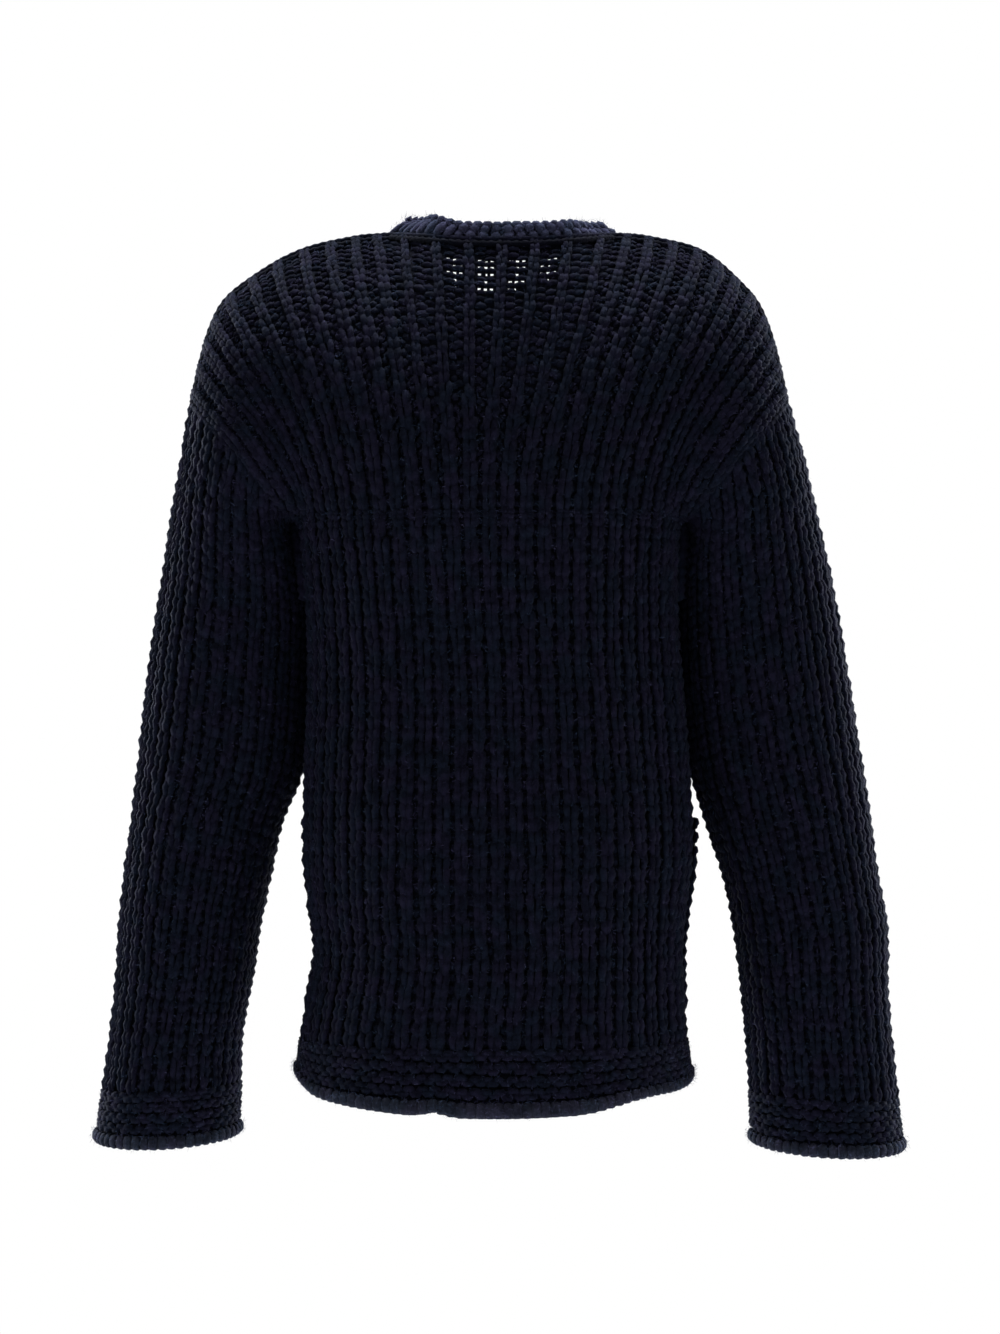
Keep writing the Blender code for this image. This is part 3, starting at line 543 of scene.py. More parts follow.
# ---------------------------------------------------------------- patches counted in stitches
WIDE, TALL = 6, 7         # columns of a patch's table: metres to one u and to one v


class Patch:
    """A base surface whose u counts ribs or stitches across and v counts rows up.

    The points and lifts are worked out at nodes and read off smoothly between them.
    """

    def __init__(self, us, vs, point, out, closed=False, row_of=None):
        self.us, self.vs, self.closed = np.asarray(us, float), np.asarray(vs, float), closed
        row_of = row_of or (lambda v: v)
        rows = [row_of(v) for v in self.vs]
        points = np.array([[point(u, row) for row in rows] for u in self.us])
        outs = np.array([[out(u, row) for row in rows] for u in self.us])
        wide = np.linalg.norm(np.gradient(points, self.us, axis=0), axis=2, keepdims=True)
        tall = np.linalg.norm(np.gradient(points, self.vs, axis=1), axis=2, keepdims=True)
        self.table = np.concatenate((points, outs, wide, tall), axis=2)

    def read(self, u, v):
        """Rows of point, lift, metres per u and metres per v at arrays of places."""
        u, v = np.broadcast_arrays(np.asarray(u, float), np.asarray(v, float))
        if self.closed:
            u = self.us[0] + (u - self.us[0]) % (self.us[-1] - self.us[0])
        i = np.clip(np.searchsorted(self.us, u, side="right") - 1, 0, len(self.us) - 2)
        j = np.clip(np.searchsorted(self.vs, v, side="right") - 1, 0, len(self.vs) - 2)
        s = ((u - self.us[i]) / (self.us[i + 1] - self.us[i]))[..., None]
        t = ((v - self.vs[j]) / (self.vs[j + 1] - self.vs[j]))[..., None]
        low = self.table[i, j] * (1 - s) + self.table[i + 1, j] * s
        high = self.table[i, j + 1] * (1 - s) + self.table[i + 1, j + 1] * s
        return low * (1 - t) + high * t

    def place(self, u, v, lift):
        """Points at places, lifted off the base surface."""
        row = self.read(u, v)
        return row[..., :3] + units(row[..., 3:6]) * np.asarray(lift, float)[..., None]

    def flat_size(self):
        """Widest width, longest length and area of the patch, along the cloth."""
        points = self.table[..., :3]
        across = np.linalg.norm(np.diff(points, axis=0), axis=2)
        along = np.linalg.norm(np.diff(points, axis=1), axis=2)
        cells = (across[:, 1:] + across[:, :-1]) * (along[1:] + along[:-1]) / 4
        return across.sum(axis=0).max(), along.sum(axis=1).max(), cells.sum()


# ---------------------------------------------------------------- meshes from arrays
def mesh_object(name, points, faces, finish):
    """Object from an array of points and arrays of faces, each with its own count of corners."""
    mesh = bpy.data.meshes.new(name)
    mesh.vertices.add(len(points))
    mesh.vertices.foreach_set("co", np.ascontiguousarray(points, np.float32).ravel())
    counts = np.concatenate([np.full(len(f), f.shape[1]) for f in faces])
    corners = np.concatenate([f.ravel() for f in faces])
    mesh.loops.add(len(corners))
    mesh.loops.foreach_set("vertex_index", corners.astype(np.int32))
    mesh.polygons.add(len(counts))
    starts = np.concatenate(((0,), np.cumsum(counts)[:-1]))
    mesh.polygons.foreach_set("loop_start", starts.astype(np.int32))
    mesh.polygons.foreach_set("loop_total", counts.astype(np.int32))
    mesh.update(calc_edges=True)
    mesh.validate()
    mesh.shade_smooth()
    item = bpy.data.objects.new(name, mesh)
    bpy.context.scene.collection.objects.link(item)
    mesh.materials.append(finish)
    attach(item, "root")
    return item


def tube_faces(rings, sides):
    """Faces of one closed tube: a tip, rings of corners, a tip."""
    ring = np.arange(sides)
    ahead = (ring + 1) % sides
    first = np.stack((np.zeros(sides, int), 1 + ahead, 1 + ring), axis=1)
    quads = []
    for k in range(rings - 1):
        a, b = 1 + k * sides, 1 + (k + 1) * sides
        quads.append(np.stack((a + ring, a + ahead, b + ahead, b + ring), axis=1))
    last = 1 + (rings - 1) * sides
    final = np.stack((last + ring, last + ahead, np.full(sides, last + sides)), axis=1)
    return np.concatenate((first, final)), np.concatenate(quads)


def strand_mesh(centres, outs, half_width, half_thick, sides=6):
    """Points and faces of many closed tubes along paths: arrays (tubes, path points, 3).

    The first and last points of a path are the tube's tips.  half_width lies across the cloth
    and half_thick away from it; both are arrays (tubes, path points).
    """
    tubes, steps = centres.shape[:2]
    ahead = np.empty_like(centres)
    ahead[:, 1:-1] = centres[:, 2:] - centres[:, :-2]
    ahead[:, 0] = centres[:, 1] - centres[:, 0]
    ahead[:, -1] = centres[:, -1] - centres[:, -2]
    ahead = units(ahead)
    side = units(np.cross(ahead, outs))
    away = np.cross(side, ahead)
    angles = 2 * math.pi * np.arange(sides) / sides
    ring = (side[:, 1:-1, None] * (np.cos(angles)[:, None] * half_width[:, 1:-1, None, None])
            + away[:, 1:-1, None] * (np.sin(angles)[:, None] * half_thick[:, 1:-1, None, None]))
    ring = ring + centres[:, 1:-1, None]
    body = ring.reshape(tubes, (steps - 2) * sides, 3)
    points = np.concatenate((centres[:, :1], body, centres[:, -1:]), axis=1)
    triangles, quads = tube_faces(steps - 2, sides)
    first = (np.arange(tubes) * points.shape[1])[:, None, None]
    return (points.reshape(-1, 3), (triangles[None] + first).reshape(-1, 3),
            (quads[None] + first).reshape(-1, 4))


def strands_on(patch, u, v, across, up, lift, half_width, half_thick, sides=6):
    """Tubes on a patch: across is in metres from u and up in rows from v.

    Both, and the lift, are for all tubes and steps, or for steps alone.
    """
    u, v = (places[:, None] for places in np.broadcast_arrays(u, v))
    row = patch.read(u + across / patch.read(u, v)[..., WIDE], v + up)
    outs = units(row[..., 3:6])
    centres = row[..., :3] + outs * lift[..., None]
    return strand_mesh(centres, outs, half_width, half_thick, sides)


def joined(parts):
    """One set of points and faces from several of them."""
    points, triangles, quads, count = [], [], [], 0
    for p, t, q in parts:
        points.append(p)
        triangles.append(t + count)
        quads.append(q + count)
        count += len(p)
    return np.concatenate(points), [np.concatenate(triangles), np.concatenate(quads)]


def yarn_object(name, parts, finish):
    points, faces = joined(parts)
    return mesh_object(name, points, faces, finish)


def shell(name, patch, us, vs, outer, inner, finish, keep=None):
    """Thin closed cloth between two lifts over a grid.

    On an open patch keep(u, v) can say which cells stay.
    """
    grid_u, grid_v = np.meshgrid(us, vs, indexing="ij")
    top = patch.place(grid_u, grid_v, outer(grid_u, grid_v))
    low = patch.place(grid_u, grid_v, inner(grid_u, grid_v))
    nu, nv = grid_u.shape
    points = np.concatenate((top.reshape(-1, 3), low.reshape(-1, 3)))
    i = np.arange(nu if patch.closed else nu - 1)
    i, j = (a.ravel() for a in np.meshgrid(i, np.arange(nv - 1), indexing="ij"))
    if keep is not None:
        stay = keep((us[i] + us[i + 1]) / 2, (vs[j] + vs[j + 1]) / 2)
        i, j = i[stay], j[stay]
    near, far = i * nv + j, ((i + 1) % nu) * nv + j
    quads = np.stack((near, far, far + 1, near + 1), axis=1)
    under = quads[:, ::-1] + nu * nv
    edges = np.concatenate([quads[:, [k, (k + 1) % 4]] for k in range(4)])
    keys = np.sort(edges, axis=1)
    _, first, counts = np.unique(keys, axis=0, return_index=True, return_counts=True)
    rim = edges[first[counts == 1]]
    walls = np.stack((rim[:, 1], rim[:, 0], rim[:, 0] + nu * nv, rim[:, 1] + nu * nv), axis=1)
    quads = np.concatenate((quads, under, walls))
    used = np.unique(quads)
    renumber = np.zeros(len(points), int)
    renumber[used] = np.arange(len(used))
    return mesh_object(name, points[used], [renumber[quads]], finish)


# ---------------------------------------------------------------- materials
def new_material(name):
    material = bpy.data.materials.new(name)
    material.use_nodes = True
    tree = material.node_tree
    return material, tree, tree.nodes["Principled BSDF"]


def set_inputs(node, **values):
    """Set values on a node's inputs; a _ in a name stands for a space."""
    for name, value in values.items():
        node.inputs[name.replace("_", " ")].default_value = value


def object_place(tree):
    return tree.nodes.new("ShaderNodeTexCoord").outputs["Object"]


def add_noise(tree, place, **values):
    """Output of a noise texture, laid at a place or else as Blender lays it."""
    noise = tree.nodes.new("ShaderNodeTexNoise")
    set_inputs(noise, **values)
    if place is not None:
        tree.links.new(place, noise.inputs["Vector"])
    return noise.outputs["Fac"]


def add_ramp(tree, factor, low, high):
    """Output of a ramp between two ends, each a position and a colour."""
    ramp = tree.nodes.new("ShaderNodeValToRGB")
    for element, (position, colour) in zip(ramp.color_ramp.elements, (low, high)):
        element.position = position
        element.color = (*colour, 1.0)
    tree.links.new(factor, ramp.inputs["Fac"])
    return ramp.outputs["Color"]


def add_bump(tree, height, strength, distance, under=None):
    """Normal of a relief, on top of another one where there is one."""
    bump = tree.nodes.new("ShaderNodeBump")
    set_inputs(bump, Strength=strength, Distance=distance)
    tree.links.new(height, bump.inputs["Height"])
    if under is not None:
        tree.links.new(under, bump.inputs["Normal"])
    return bump.outputs["Normal"]


TEAL_TINT, PLUM_TINT = (0.62, 0.86, 0.86), (1.0, 0.86, 1.0)
SHEEN_TINT = (0.62, 0.70, 0.92, 1.0)


def yarn_material(name, deep, light, sheen, uneven=1.0):
    """Matte wool: uneven navy, plied and fibrous relief, and a soft fibre halo."""
    material, tree, shader = new_material(name)
    link = tree.links.new
    place = object_place(tree)
    patchy = add_noise(tree, place, Scale=130.0, Detail=5.0, Roughness=0.65)
    fibre = add_noise(tree, place, Scale=900.0, Detail=3.0, Roughness=0.7)
    lumps = add_noise(tree, place, Scale=330.0, Detail=2.0)
    hue = add_noise(tree, place, Scale=55.0, Detail=1.0)
    both = tree.nodes.new("ShaderNodeMix")
    both.data_type = "FLOAT"
    set_inputs(both, Factor=0.45)
    link(patchy, both.inputs["A"])
    link(fibre, both.inputs["B"])
    dyed = tree.nodes.new("ShaderNodeMix")
    dyed.data_type = "RGBA"
    dyed.blend_type = "MULTIPLY"
    dyed.inputs[0].default_value = uneven
    link(add_ramp(tree, both.outputs["Result"], (0.40, deep), (0.65, light)), dyed.inputs[6])
    link(add_ramp(tree, hue, (0.38, TEAL_TINT), (0.62, PLUM_TINT)), dyed.inputs[7])
    link(dyed.outputs[2], shader.inputs["Base Color"])
    relief = add_bump(tree, lumps, 0.8, 0.0016)
    link(add_bump(tree, fibre, 0.55, 0.0006, relief), shader.inputs["Normal"])
    set_inputs(shader, Roughness=0.92, Specular_IOR_Level=0.02, Sheen_Weight=sheen,
               Sheen_Roughness=0.55, Sheen_Tint=SHEEN_TINT)
    return material


def button_material():
    """Dark polished horn with faint streaks."""
    material, tree, shader = new_material("horn_button")
    streak = add_noise(tree, object_place(tree), Scale=160.0, Detail=4.0, Distortion=2.2)
    colour = add_ramp(tree, streak, (0.35, (0.0018, 0.0018, 0.0026)),
                      (0.72, (0.0095, 0.0085, 0.0095)))
    tree.links.new(colour, shader.inputs["Base Color"])
    tree.links.new(add_bump(tree, streak, 0.12, 0.0002), shader.inputs["Normal"])
    set_inputs(shader, Roughness=0.42, Specular_IOR_Level=0.12)
    return material


YARN = yarn_material("navy_yarn", (0.0004, 0.0005, 0.0016), (0.0038, 0.0041, 0.0086), 0.004)
# Same navy yarn made lighter for the rolled edges of the hem and cuffs: painted light, for the glow
# of light on their fuzzy rolls.
PAINTED_LIGHT_ROLL_YARN = yarn_material("roll_yarn_painted_light", (0.0020, 0.0023, 0.0040), (0.0088, 0.0096, 0.0150), 0.008, 0.5)
# Same navy yarn made lighter for the neckband: painted light, for the light that falls on it from
# above.
PAINTED_LIGHT_NECK_YARN = yarn_material("neck_yarn_painted_light", (0.0034, 0.0038, 0.0076), (0.0150, 0.0163, 0.0285), 0.010, 0.5)
# Darker copy of the same navy yarn: painted shade on the cloth seen in the gaps between stitches
# and on the rolled ridge below the seams.
PAINTED_SHADE_YARN = yarn_material("navy_yarn_painted_shade", (0.0003, 0.0004, 0.0010), (0.0010, 0.0011, 0.0026), 0.001)
# Nap fibres far paler than the yarn: painted sheen, for the light caught in the fuzz at the
# garment's edges.
PAINTED_SHEEN_NAP = yarn_material("navy_nap_painted_sheen", (0.016, 0.018, 0.036), (0.058, 0.064, 0.105), 0.0)
HORN = button_material()


# ---------------------------------------------------------------- stitches
# A stitch is a closed tube on the cloth.  From tip to tip it has places across and up, lifts off
# the cloth in metres, and sizes as shares of its full size.
Stitch = namedtuple("Stitch", "across up lift size")


def stitch(*rows):
    return Stitch(*(np.array(row) for row in rows))


# One leg of a knit stitch, from under the stitch below to under the one above it: across in
# halves of its column, up in rows.
LEG = stitch((0.22, 0.34, 0.48, 0.50, 0.36), (-0.90, -0.50, 0.08, 0.60, 0.90),
             (0.0010, 0.0032, 0.0045, 0.0030, 0.0008), (0.0, 0.92, 1.10, 0.90, 0.0))
LEG_WIDTH, LEG_THICK = 0.52, 0.0022      # halves: a share of its column's half, and metres
STRETCHED_SMOOTH = 0.6    # how much of a leg's dips goes where the knit is stretched
# A purl stitch in a closed groove, and one of the two bumps of one in a groove that is open.
BAR = stitch((-1.0, -0.62, 0.0, 0.62, 1.0), (-0.16, 0.0, 0.06, 0.0, -0.16),
             (0.0004, 0.0009, 0.0010, 0.0009, 0.0004), (0.0, 0.86, 1.0, 0.86, 0.0))
BUMP = stitch((-1.0, -0.62, 0.0, 0.62, 1.0), (-0.20, 0.0, 0.08, 0.0, -0.20),
              (0.0000, 0.0010, 0.0015, 0.0010, 0.0000), (0.0, 0.84, 1.0, 0.84, 0.0))
BAR_TUCK, BAR_THICK = 0.0016, 0.0014     # how far a bar runs under its ribs, and half its depth
BUMP_ASIDE, BUMP_REACH, BUMP_THICK = 0.46, 0.66, 0.0018
BUMPS_FROM = 0.0017       # half width of a groove that opens to show two bumps a stitch
CLOSED_PITCH = 0.0125     # pitch of the ribs where their grooves are closed
# Arcs of the garter ridges and of the pockets' tops: across in reaches, up in ridges or rows.
# A reach is a share of the pitch of the stitches; the halves of its width and depth follow.
ARC = stitch((-1.0, -0.74, -0.30, 0.30, 0.74, 1.0), (0.40, 0.20, -0.06, -0.06, 0.20, 0.40),
             (0.0012, 0.0030, 0.0044, 0.0044, 0.0030, 0.0012), (0.0, 0.82, 1.08, 1.08, 0.82, 0.0))
POCKET_ARC = stitch((-1.0, -0.78, -0.34, 0.34, 0.78, 1.0),
                    (0.34, 0.16, -0.13, -0.13, 0.16, 0.34),
                    (0.0008, 0.0020, 0.0028, 0.0028, 0.0020, 0.0008),
                    (0.0, 0.8, 1.0, 1.0, 0.8, 0.0))
ARC_REACH, ARC_WIDTH, ARC_THICK = 0.60, 0.0026, 0.0024
POCKET_ARC_REACH, POCKET_ARC_WIDTH, POCKET_ARC_THICK = 0.56, 0.0019, 0.0015
# A strand over a rolled edge, a rib of the neckband, and a rib's turn over its top and inside:
# up as shares of the band, half width as a share of the pitch and half depth in metres.
ROLL = stitch((0.0,), (0.755, 0.79, 0.86, 0.93, 0.985, 1.0),
              (0.0030, 0.0064, 0.0077, 0.0075, 0.0054, 0.0018), (0.0, 0.88, 1.0, 1.0, 0.88, 0.0))
NECK_RIB = stitch((0.0,), (0.0,), (0.0012, 0.0040, 0.0045, 0.0038, 0.0010), LEG.size)
NECK_TURN = stitch((0.5,), (0.64, 0.84, 0.97, 0.97, 0.84, 0.48, 0.06),
                   (0.0020, 0.0040, 0.0032, 0.0008, -0.0004, -0.0002, 0.0004),
                   (0.0, 0.86, 1.0, 1.0, 0.9, 0.8, 0.0))
ROLL_WIDTH, ROLL_THICK = 0.58, 0.0012
NECK_RIB_WIDTH, NECK_RIB_THICK = 0.49, 0.0026
NECK_TURN_WIDTH, NECK_TURN_THICK = 0.48, 0.0020
NECK_RIBS_LONG, NECK_RIBS_LOW, NECK_RIBS_HIGH = (-0.12, 0.94), (-0.12, 0.50), (0.34, 0.94)


def scatter(count, amount):
    """A column of random amounts about 0, one for each strand."""
    return amount * RANDOM.standard_normal((count, 1))


def jitter(count, amount):
    """A column of random factors about 1, one for each strand."""
    return 1.0 + scatter(count, amount)


def stretched(wide):
    """How far the knit is stretched, from 0 to 1, at a pitch of its ribs."""
    return ease((wide - STRETCH_FROM) / (STRETCH_TO - STRETCH_FROM))


def column_half(wide):
    """Half the width of a knit column at a pitch of the ribs."""
    half = np.minimum(COLUMN_HALF, COLUMN_SHARE * wide)
    return half + (STRETCHED_HALF - half) * stretched(wide)


def legs(patch, u, v, rise=0.0, sides=5):
    """Pairs of knit legs centred at the places, widening to the rib they stand on."""
    parts, count = [], len(u)
    wide = patch.read(u, v)[:, WIDE, None]
    half = column_half(wide)
    shape = LEG.lift + STRETCHED_SMOOTH * stretched(wide) * (LEG.lift.max() - LEG.lift)
    for hand in (-1.0, 1.0):
        size = LEG.size * jitter(count, 0.09)
        across = hand * half * LEG.across + scatter(count, 0.0005)
        up = LEG.up + scatter(count, 0.10)
        lift = shape * jitter(count, 0.05) + rise
        parts.append(strands_on(patch, u, v, across, up, lift, LEG_WIDTH * half * size,
                                LEG_THICK * size, sides))
    return parts


def closed_bars(patch, u, v, groove, opened, height, rise):
    """One bar at each place."""
    count = len(u)
    size = BAR.size * jitter(count, 0.06)
    across = (groove + BAR_TUCK) * jitter(count, 0.05) * BAR.across
    up = BAR.up + scatter(count, 0.05)
    lift = BAR.lift + 0.0020 * opened + rise
    return [strands_on(patch, u, v, across, up, lift, height * size, BAR_THICK * size, 4)]


def open_bumps(patch, u, v, groove, opened, height, rise, stagger):
    """Two bumps at each place, one higher than the other."""
    parts, count = [], len(u)
    for hand in (-1.0, 1.0):
        factor = jitter(count, 0.10)
        middle = hand * BUMP_ASIDE * (groove + 0.0006) * jitter(count, 0.10)
        across = middle + BUMP_REACH * groove * BUMP.across * factor
        up = stagger * hand + BUMP.up * jitter(count, 0.4) + scatter(count, 0.08)
        lift = BUMP.lift + 0.0006 * opened + rise + scatter(count, 0.0003)
        size = BUMP.size * factor
        parts.append(strands_on(patch, u, v, across, up, lift, 0.92 * height * size,
                                BUMP_THICK * size, 4))
    return parts


def bars(patch, u, v, height=0.40, rise=0.0, stagger=0.24):
    """Purl stitches at the places: a bar in a closed groove, two bumps in an open one."""
    row = patch.read(u, v)
    wide, tall = row[:, WIDE, None], row[:, TALL, None]
    groove = 0.5 * wide - column_half(wide)
    opened = ease((wide / CLOSED_PITCH - 1.0) / 0.5)
    parts = []
    for few, build, more in ((groove[:, 0] < BUMPS_FROM, closed_bars, ()),
                             (groove[:, 0] >= BUMPS_FROM, open_bumps, (stagger,))):
        if few.any():
            parts += build(patch, u[few], v[few], groove[few], opened[few], height * tall[few],
                           rise, *more)
    return parts


FIBRE_LENGTH = (0.0020, 0.0048)
FIBRE_RISE = (0.0, 1.3)   # slope off the cloth
FIBRE_WIDTH = 0.00022
FIBRES = 90000            # to a square metre of ribs
# Of each nap: how many times as dense it is, and its height off the base surface; the denser naps
# on the rolled edges and the neckband lay on more of the pale painted sheen.
RIB_NAP, GARTER_NAP, ROLL_NAP, NECK_NAP = (1, 0.0040), (2, 0.0052), (4, 0.0080), (5, 0.0060)
ROLL_FROM = 0.76          # share of a garter band where its rolled edge starts


def halo(name, patch, nap, low=None):
    """The yarn's nap: fine fibres that stand off a patch at random, one sliver each, coloured paler
    than the yarn as painted sheen.
    """
    density, lift = nap
    first, last = patch.vs[0] if low is None else low, patch.vs[-1]
    share = (last - first) / (patch.vs[-1] - patch.vs[0])
    count = int(patch.flat_size()[2] * share * density * FIBRES)
    u = RANDOM.uniform(patch.us[0], patch.us[-1], count)
    v = RANDOM.uniform(first, last, count)
    row = patch.read(u, v)
    outs = units(row[:, 3:6])
    aside = RANDOM.standard_normal((count, 3))
    aside = units(aside - outs * (aside * outs).sum(axis=1)[:, None])
    rise = RANDOM.uniform(*FIBRE_RISE, count)[:, None]
    length = RANDOM.uniform(*FIBRE_LENGTH, count)[:, None]
    root = row[:, :3] + outs * (lift * RANDOM.uniform(0.5, 1.25, count))[:, None]
    along = units(aside + outs * rise)
    side = units(np.cross(along, RANDOM.standard_normal((count, 3)))) * FIBRE_WIDTH / 2
    points = np.stack((root - side, root + side, root + along * length), axis=1).reshape(-1, 3)
    return mesh_object(name, points, [np.arange(3 * count).reshape(-1, 3)], PAINTED_SHEEN_NAP)


def stitch_places(columns, rows, skip=None):
    """Places at every column and row, but for those that skip(u, v) picks out."""
    u, v = (a.ravel() for a in np.meshgrid(columns, rows, indexing="ij"))
    if skip is not None:
        stay = ~skip(u, v)
        u, v = u[stay], v[stay]
    return u, v


# ---------------------------------------------------------------- cloth under the stitches
BODY_STITCHES = LOW_STITCHES + YOKE_STITCHES
# Columns of the cloth in each rib, as shares of the rib.
FINE = (0.0, 0.05, 0.15, 0.25, 0.5, 0.75, 0.85, 0.95)
MEDIUM = (0.0, 0.28, 0.5, 0.72)
COARSE = (0.0, 0.5)


def body_row(v):
    """Row of a panel, 0 at the hem band and 2 at its top edge, at a count of stitches."""
    if v <= LOW_STITCHES:
        return v / LOW_STITCHES
    share = (v - LOW_STITCHES) / YOKE_STITCHES
    fall = (1.0 - YOKE_ROW_SHRINK) / 2
    return 1.0 + (share - fall * share * share) / (1.0 - fall)


def shell_lift(u, v):
    """Outside of the cloth under the stitches: low in the grooves, higher below the ribs."""
    return 0.0006 + 0.0014 * (0.5 - 0.5 * np.cos(2 * math.pi * u))


def shell_inside(u, v):
    return 0.0004 * (0.5 - 0.5 * np.cos(2 * math.pi * u))


def rib_places(first, last, shares):
    """Columns of a shell: the shares of each rib, and the last rib's end."""
    ribs = np.arange(first, last)
    places = (ribs[:, None] + np.asarray(shares)).ravel()
    return np.append(places, last)


def declare(patch, node):
    """Hide the solid that a cloth stands for; the size of its cut is worked out but not used."""
    width, length, area = patch.flat_size()
    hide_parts(node)


# The photo shows light through the purl stitches of the upper back, in this window.
HOLE_LEFT, HOLE_RIGHT = 0.078, -0.056
HOLE_ROWS = (2.9, 7.8)    # rows below the neck seam
HOLE_RIBS = (11, 19)      # ribs with the finer cloth that the holes need
HOLE_HEIGHT = 0.17        # half a hole's height, in rows
HOLE_CHANCE = 0.86
FINE_ROWS = (2, 8)        # rows below the neck seam with finer cloth


def in_window(patch, u, v):
    """Whether places lie in the window where the upper back is stretched open."""
    x = patch.read(u, v)[..., 0]
    from_top = BODY_STITCHES - v
    inside = 1.0 - ((2 * x - HOLE_LEFT - HOLE_RIGHT) / (HOLE_LEFT - HOLE_RIGHT)) ** 2
    depth = HOLE_ROWS[0] + (HOLE_ROWS[1] - HOLE_ROWS[0]) * np.maximum(inside, 0.0) ** 0.45
    return (inside > 0.0) & (from_top > HOLE_ROWS[0]) & (from_top < depth)


def back_holes(patch):
    """Three small gaps across each groove, between its purl stitches."""
    def keep(u, v):
        aside = np.abs(u - np.round(u))
        gap = (aside < 0.06) | ((aside > 0.14) & (aside < 0.26))
        gap &= np.abs(v - np.round(v)) < 0.05
        return ~(gap & in_window(patch, u, v) & (RANDOM.random(len(u)) < HOLE_CHANCE))
    return keep


# ---------------------------------------------------------------- body panels and sleeves
def panel_patch(face, columns, side=None):
    def across(u):
        if face == "back":
            return -1.0 + 2.0 * u / BACK_RIBS
        return front_across(side, u / FRONT_RIBS)

    def point(u, row):
        place = panel_point(face, across(u), row)
        if side is None:
            return place
        return place + lap(side, across(u)) * panel_out(face, across(u), row)

    def out(u, row):
        return panel_out(face, across(u), row)

    vs = np.arange(0, BODY_STITCHES + 1)
    return Patch(np.linspace(0, columns, 2 * columns + 1), vs, point, out, row_of=body_row)


def knit_panel(name, patch, us, vs, keep=None, skip=None, purl=bars, first=0, sides=5):
    """Cloth with knit columns on its ribs, purl stitches in its grooves, and nap over both."""
    # The cloth takes the darker yarn, painted shade in the gaps between stitches.
    cloth = shell(name + "_cloth", patch, us, vs, shell_lift, shell_inside, PAINTED_SHADE_YARN, keep)
    ribs = np.arange(int(patch.us[-1]))
    rows = np.arange(int(patch.vs[-1])) + 0.5
    places = stitch_places(ribs + 0.5, rows, skip)
    knit = yarn_object(name + "_knit_stitches", legs(patch, *places, sides=sides), YARN)
    places = stitch_places(ribs[first:], rows, skip)
    purl = yarn_object(name + "_purl_stitches", purl(patch, *places), YARN)
    nap = halo(name + "_nap", patch, RIB_NAP)
    declare(patch, name)


def back_bars(patch, u, v):
    """Purl stitches of the back, side by side in the window where light comes through."""
    window = in_window(patch, u, v)
    return (bars(patch, u[~window], v[~window])
            + bars(patch, u[window], v[window], height=0.39, stagger=0.07))


def add_back():
    patch = panel_patch("back", BACK_RIBS)
    us = np.concatenate((rib_places(0, HOLE_RIBS[0], MEDIUM)[:-1],
                         rib_places(*HOLE_RIBS, FINE)[:-1],
                         rib_places(HOLE_RIBS[1], BACK_RIBS, MEDIUM)))
    vs = patch.vs
    near = (vs >= BODY_STITCHES - FINE_ROWS[1]) & (vs <= BODY_STITCHES - FINE_ROWS[0])
    vs = np.sort(np.concatenate((vs[~near], vs[near] - HOLE_HEIGHT, vs[near] + HOLE_HEIGHT)))
    knit_panel("back", patch, us, vs, keep=back_holes(patch), purl=back_bars,
               first=1)


def add_front(label, side):
    patch = panel_patch("front", FRONT_RIBS, side)
    vs = np.append(np.arange(0, BODY_STITCHES, 2), BODY_STITCHES).astype(float)
    low, high = (LOW_STITCHES * row for row in POCKET_ROWS)

    def under_pocket(u, v):
        return ((u > POCKET_RIBS[0] + 0.6) & (u < POCKET_RIBS[1] - 0.6)
                & (v > low + 1) & (v < high - 3))

    knit_panel("front_" + label, patch, rib_places(0, FRONT_RIBS, COARSE), vs,
               skip=under_pocket, sides=4)


def add_sleeve(label, side):
    patch = Patch(np.linspace(0, SLEEVE_RIBS, 2 * SLEEVE_RIBS + 1),
                  np.arange(0, SLEEVE_STITCHES + 1),
                  lambda u, v: sleeve_point(side, u, v), lambda u, v: sleeve_out(side, u, v),
                  closed=True, row_of=lambda v: 1.0 - v / SLEEVE_STITCHES)
    knit_panel("sleeve_" + label, patch, rib_places(0, SLEEVE_RIBS, COARSE)[:-1], patch.vs[::2])


# ---------------------------------------------------------------- garter bands
GARTER_LIFT_V = np.append(np.linspace(0.0, RIDGES_SHARE, 2 * GARTER_RIDGES + 1),
                          (0.80, 0.87, 0.93, 0.975, 1.0))
GARTER_LIFT = np.array((0.0022, 0.0034) * GARTER_RIDGES
                       + (0.0022, 0.0056, 0.0069, 0.0071, 0.0056, 0.0028))
CUFF_STITCHES = 36


def garter_ridges(patch, stitches):
    """Ridges of interlocked arcs: in each, one row bows down and the next one up."""
    parts = []
    pitch = RIDGES_SHARE / GARTER_RIDGES
    for ridge in range(GARTER_RIDGES):
        for flip, shift in ((1.0, 0.0), (-1.0, 0.5)):
            count = stitches if patch.closed or shift else stitches + 1
            u = np.arange(count) + shift + scatter(count, 0.06)[:, 0]
            v = (ridge + 0.5 - 0.15 * flip) * pitch + scatter(count, 0.05 * pitch)[:, 0]
            across = ARC_REACH * patch.read(u, v)[:, WIDE, None] * ARC.across
            up = flip * pitch * ARC.up * jitter(count, 0.15)
            size = ARC.size * jitter(count, 0.10)
            parts.append(strands_on(patch, u, v, across, up, ARC.lift, ARC_WIDTH * size,
                                    ARC_THICK * size, 5))
    return parts


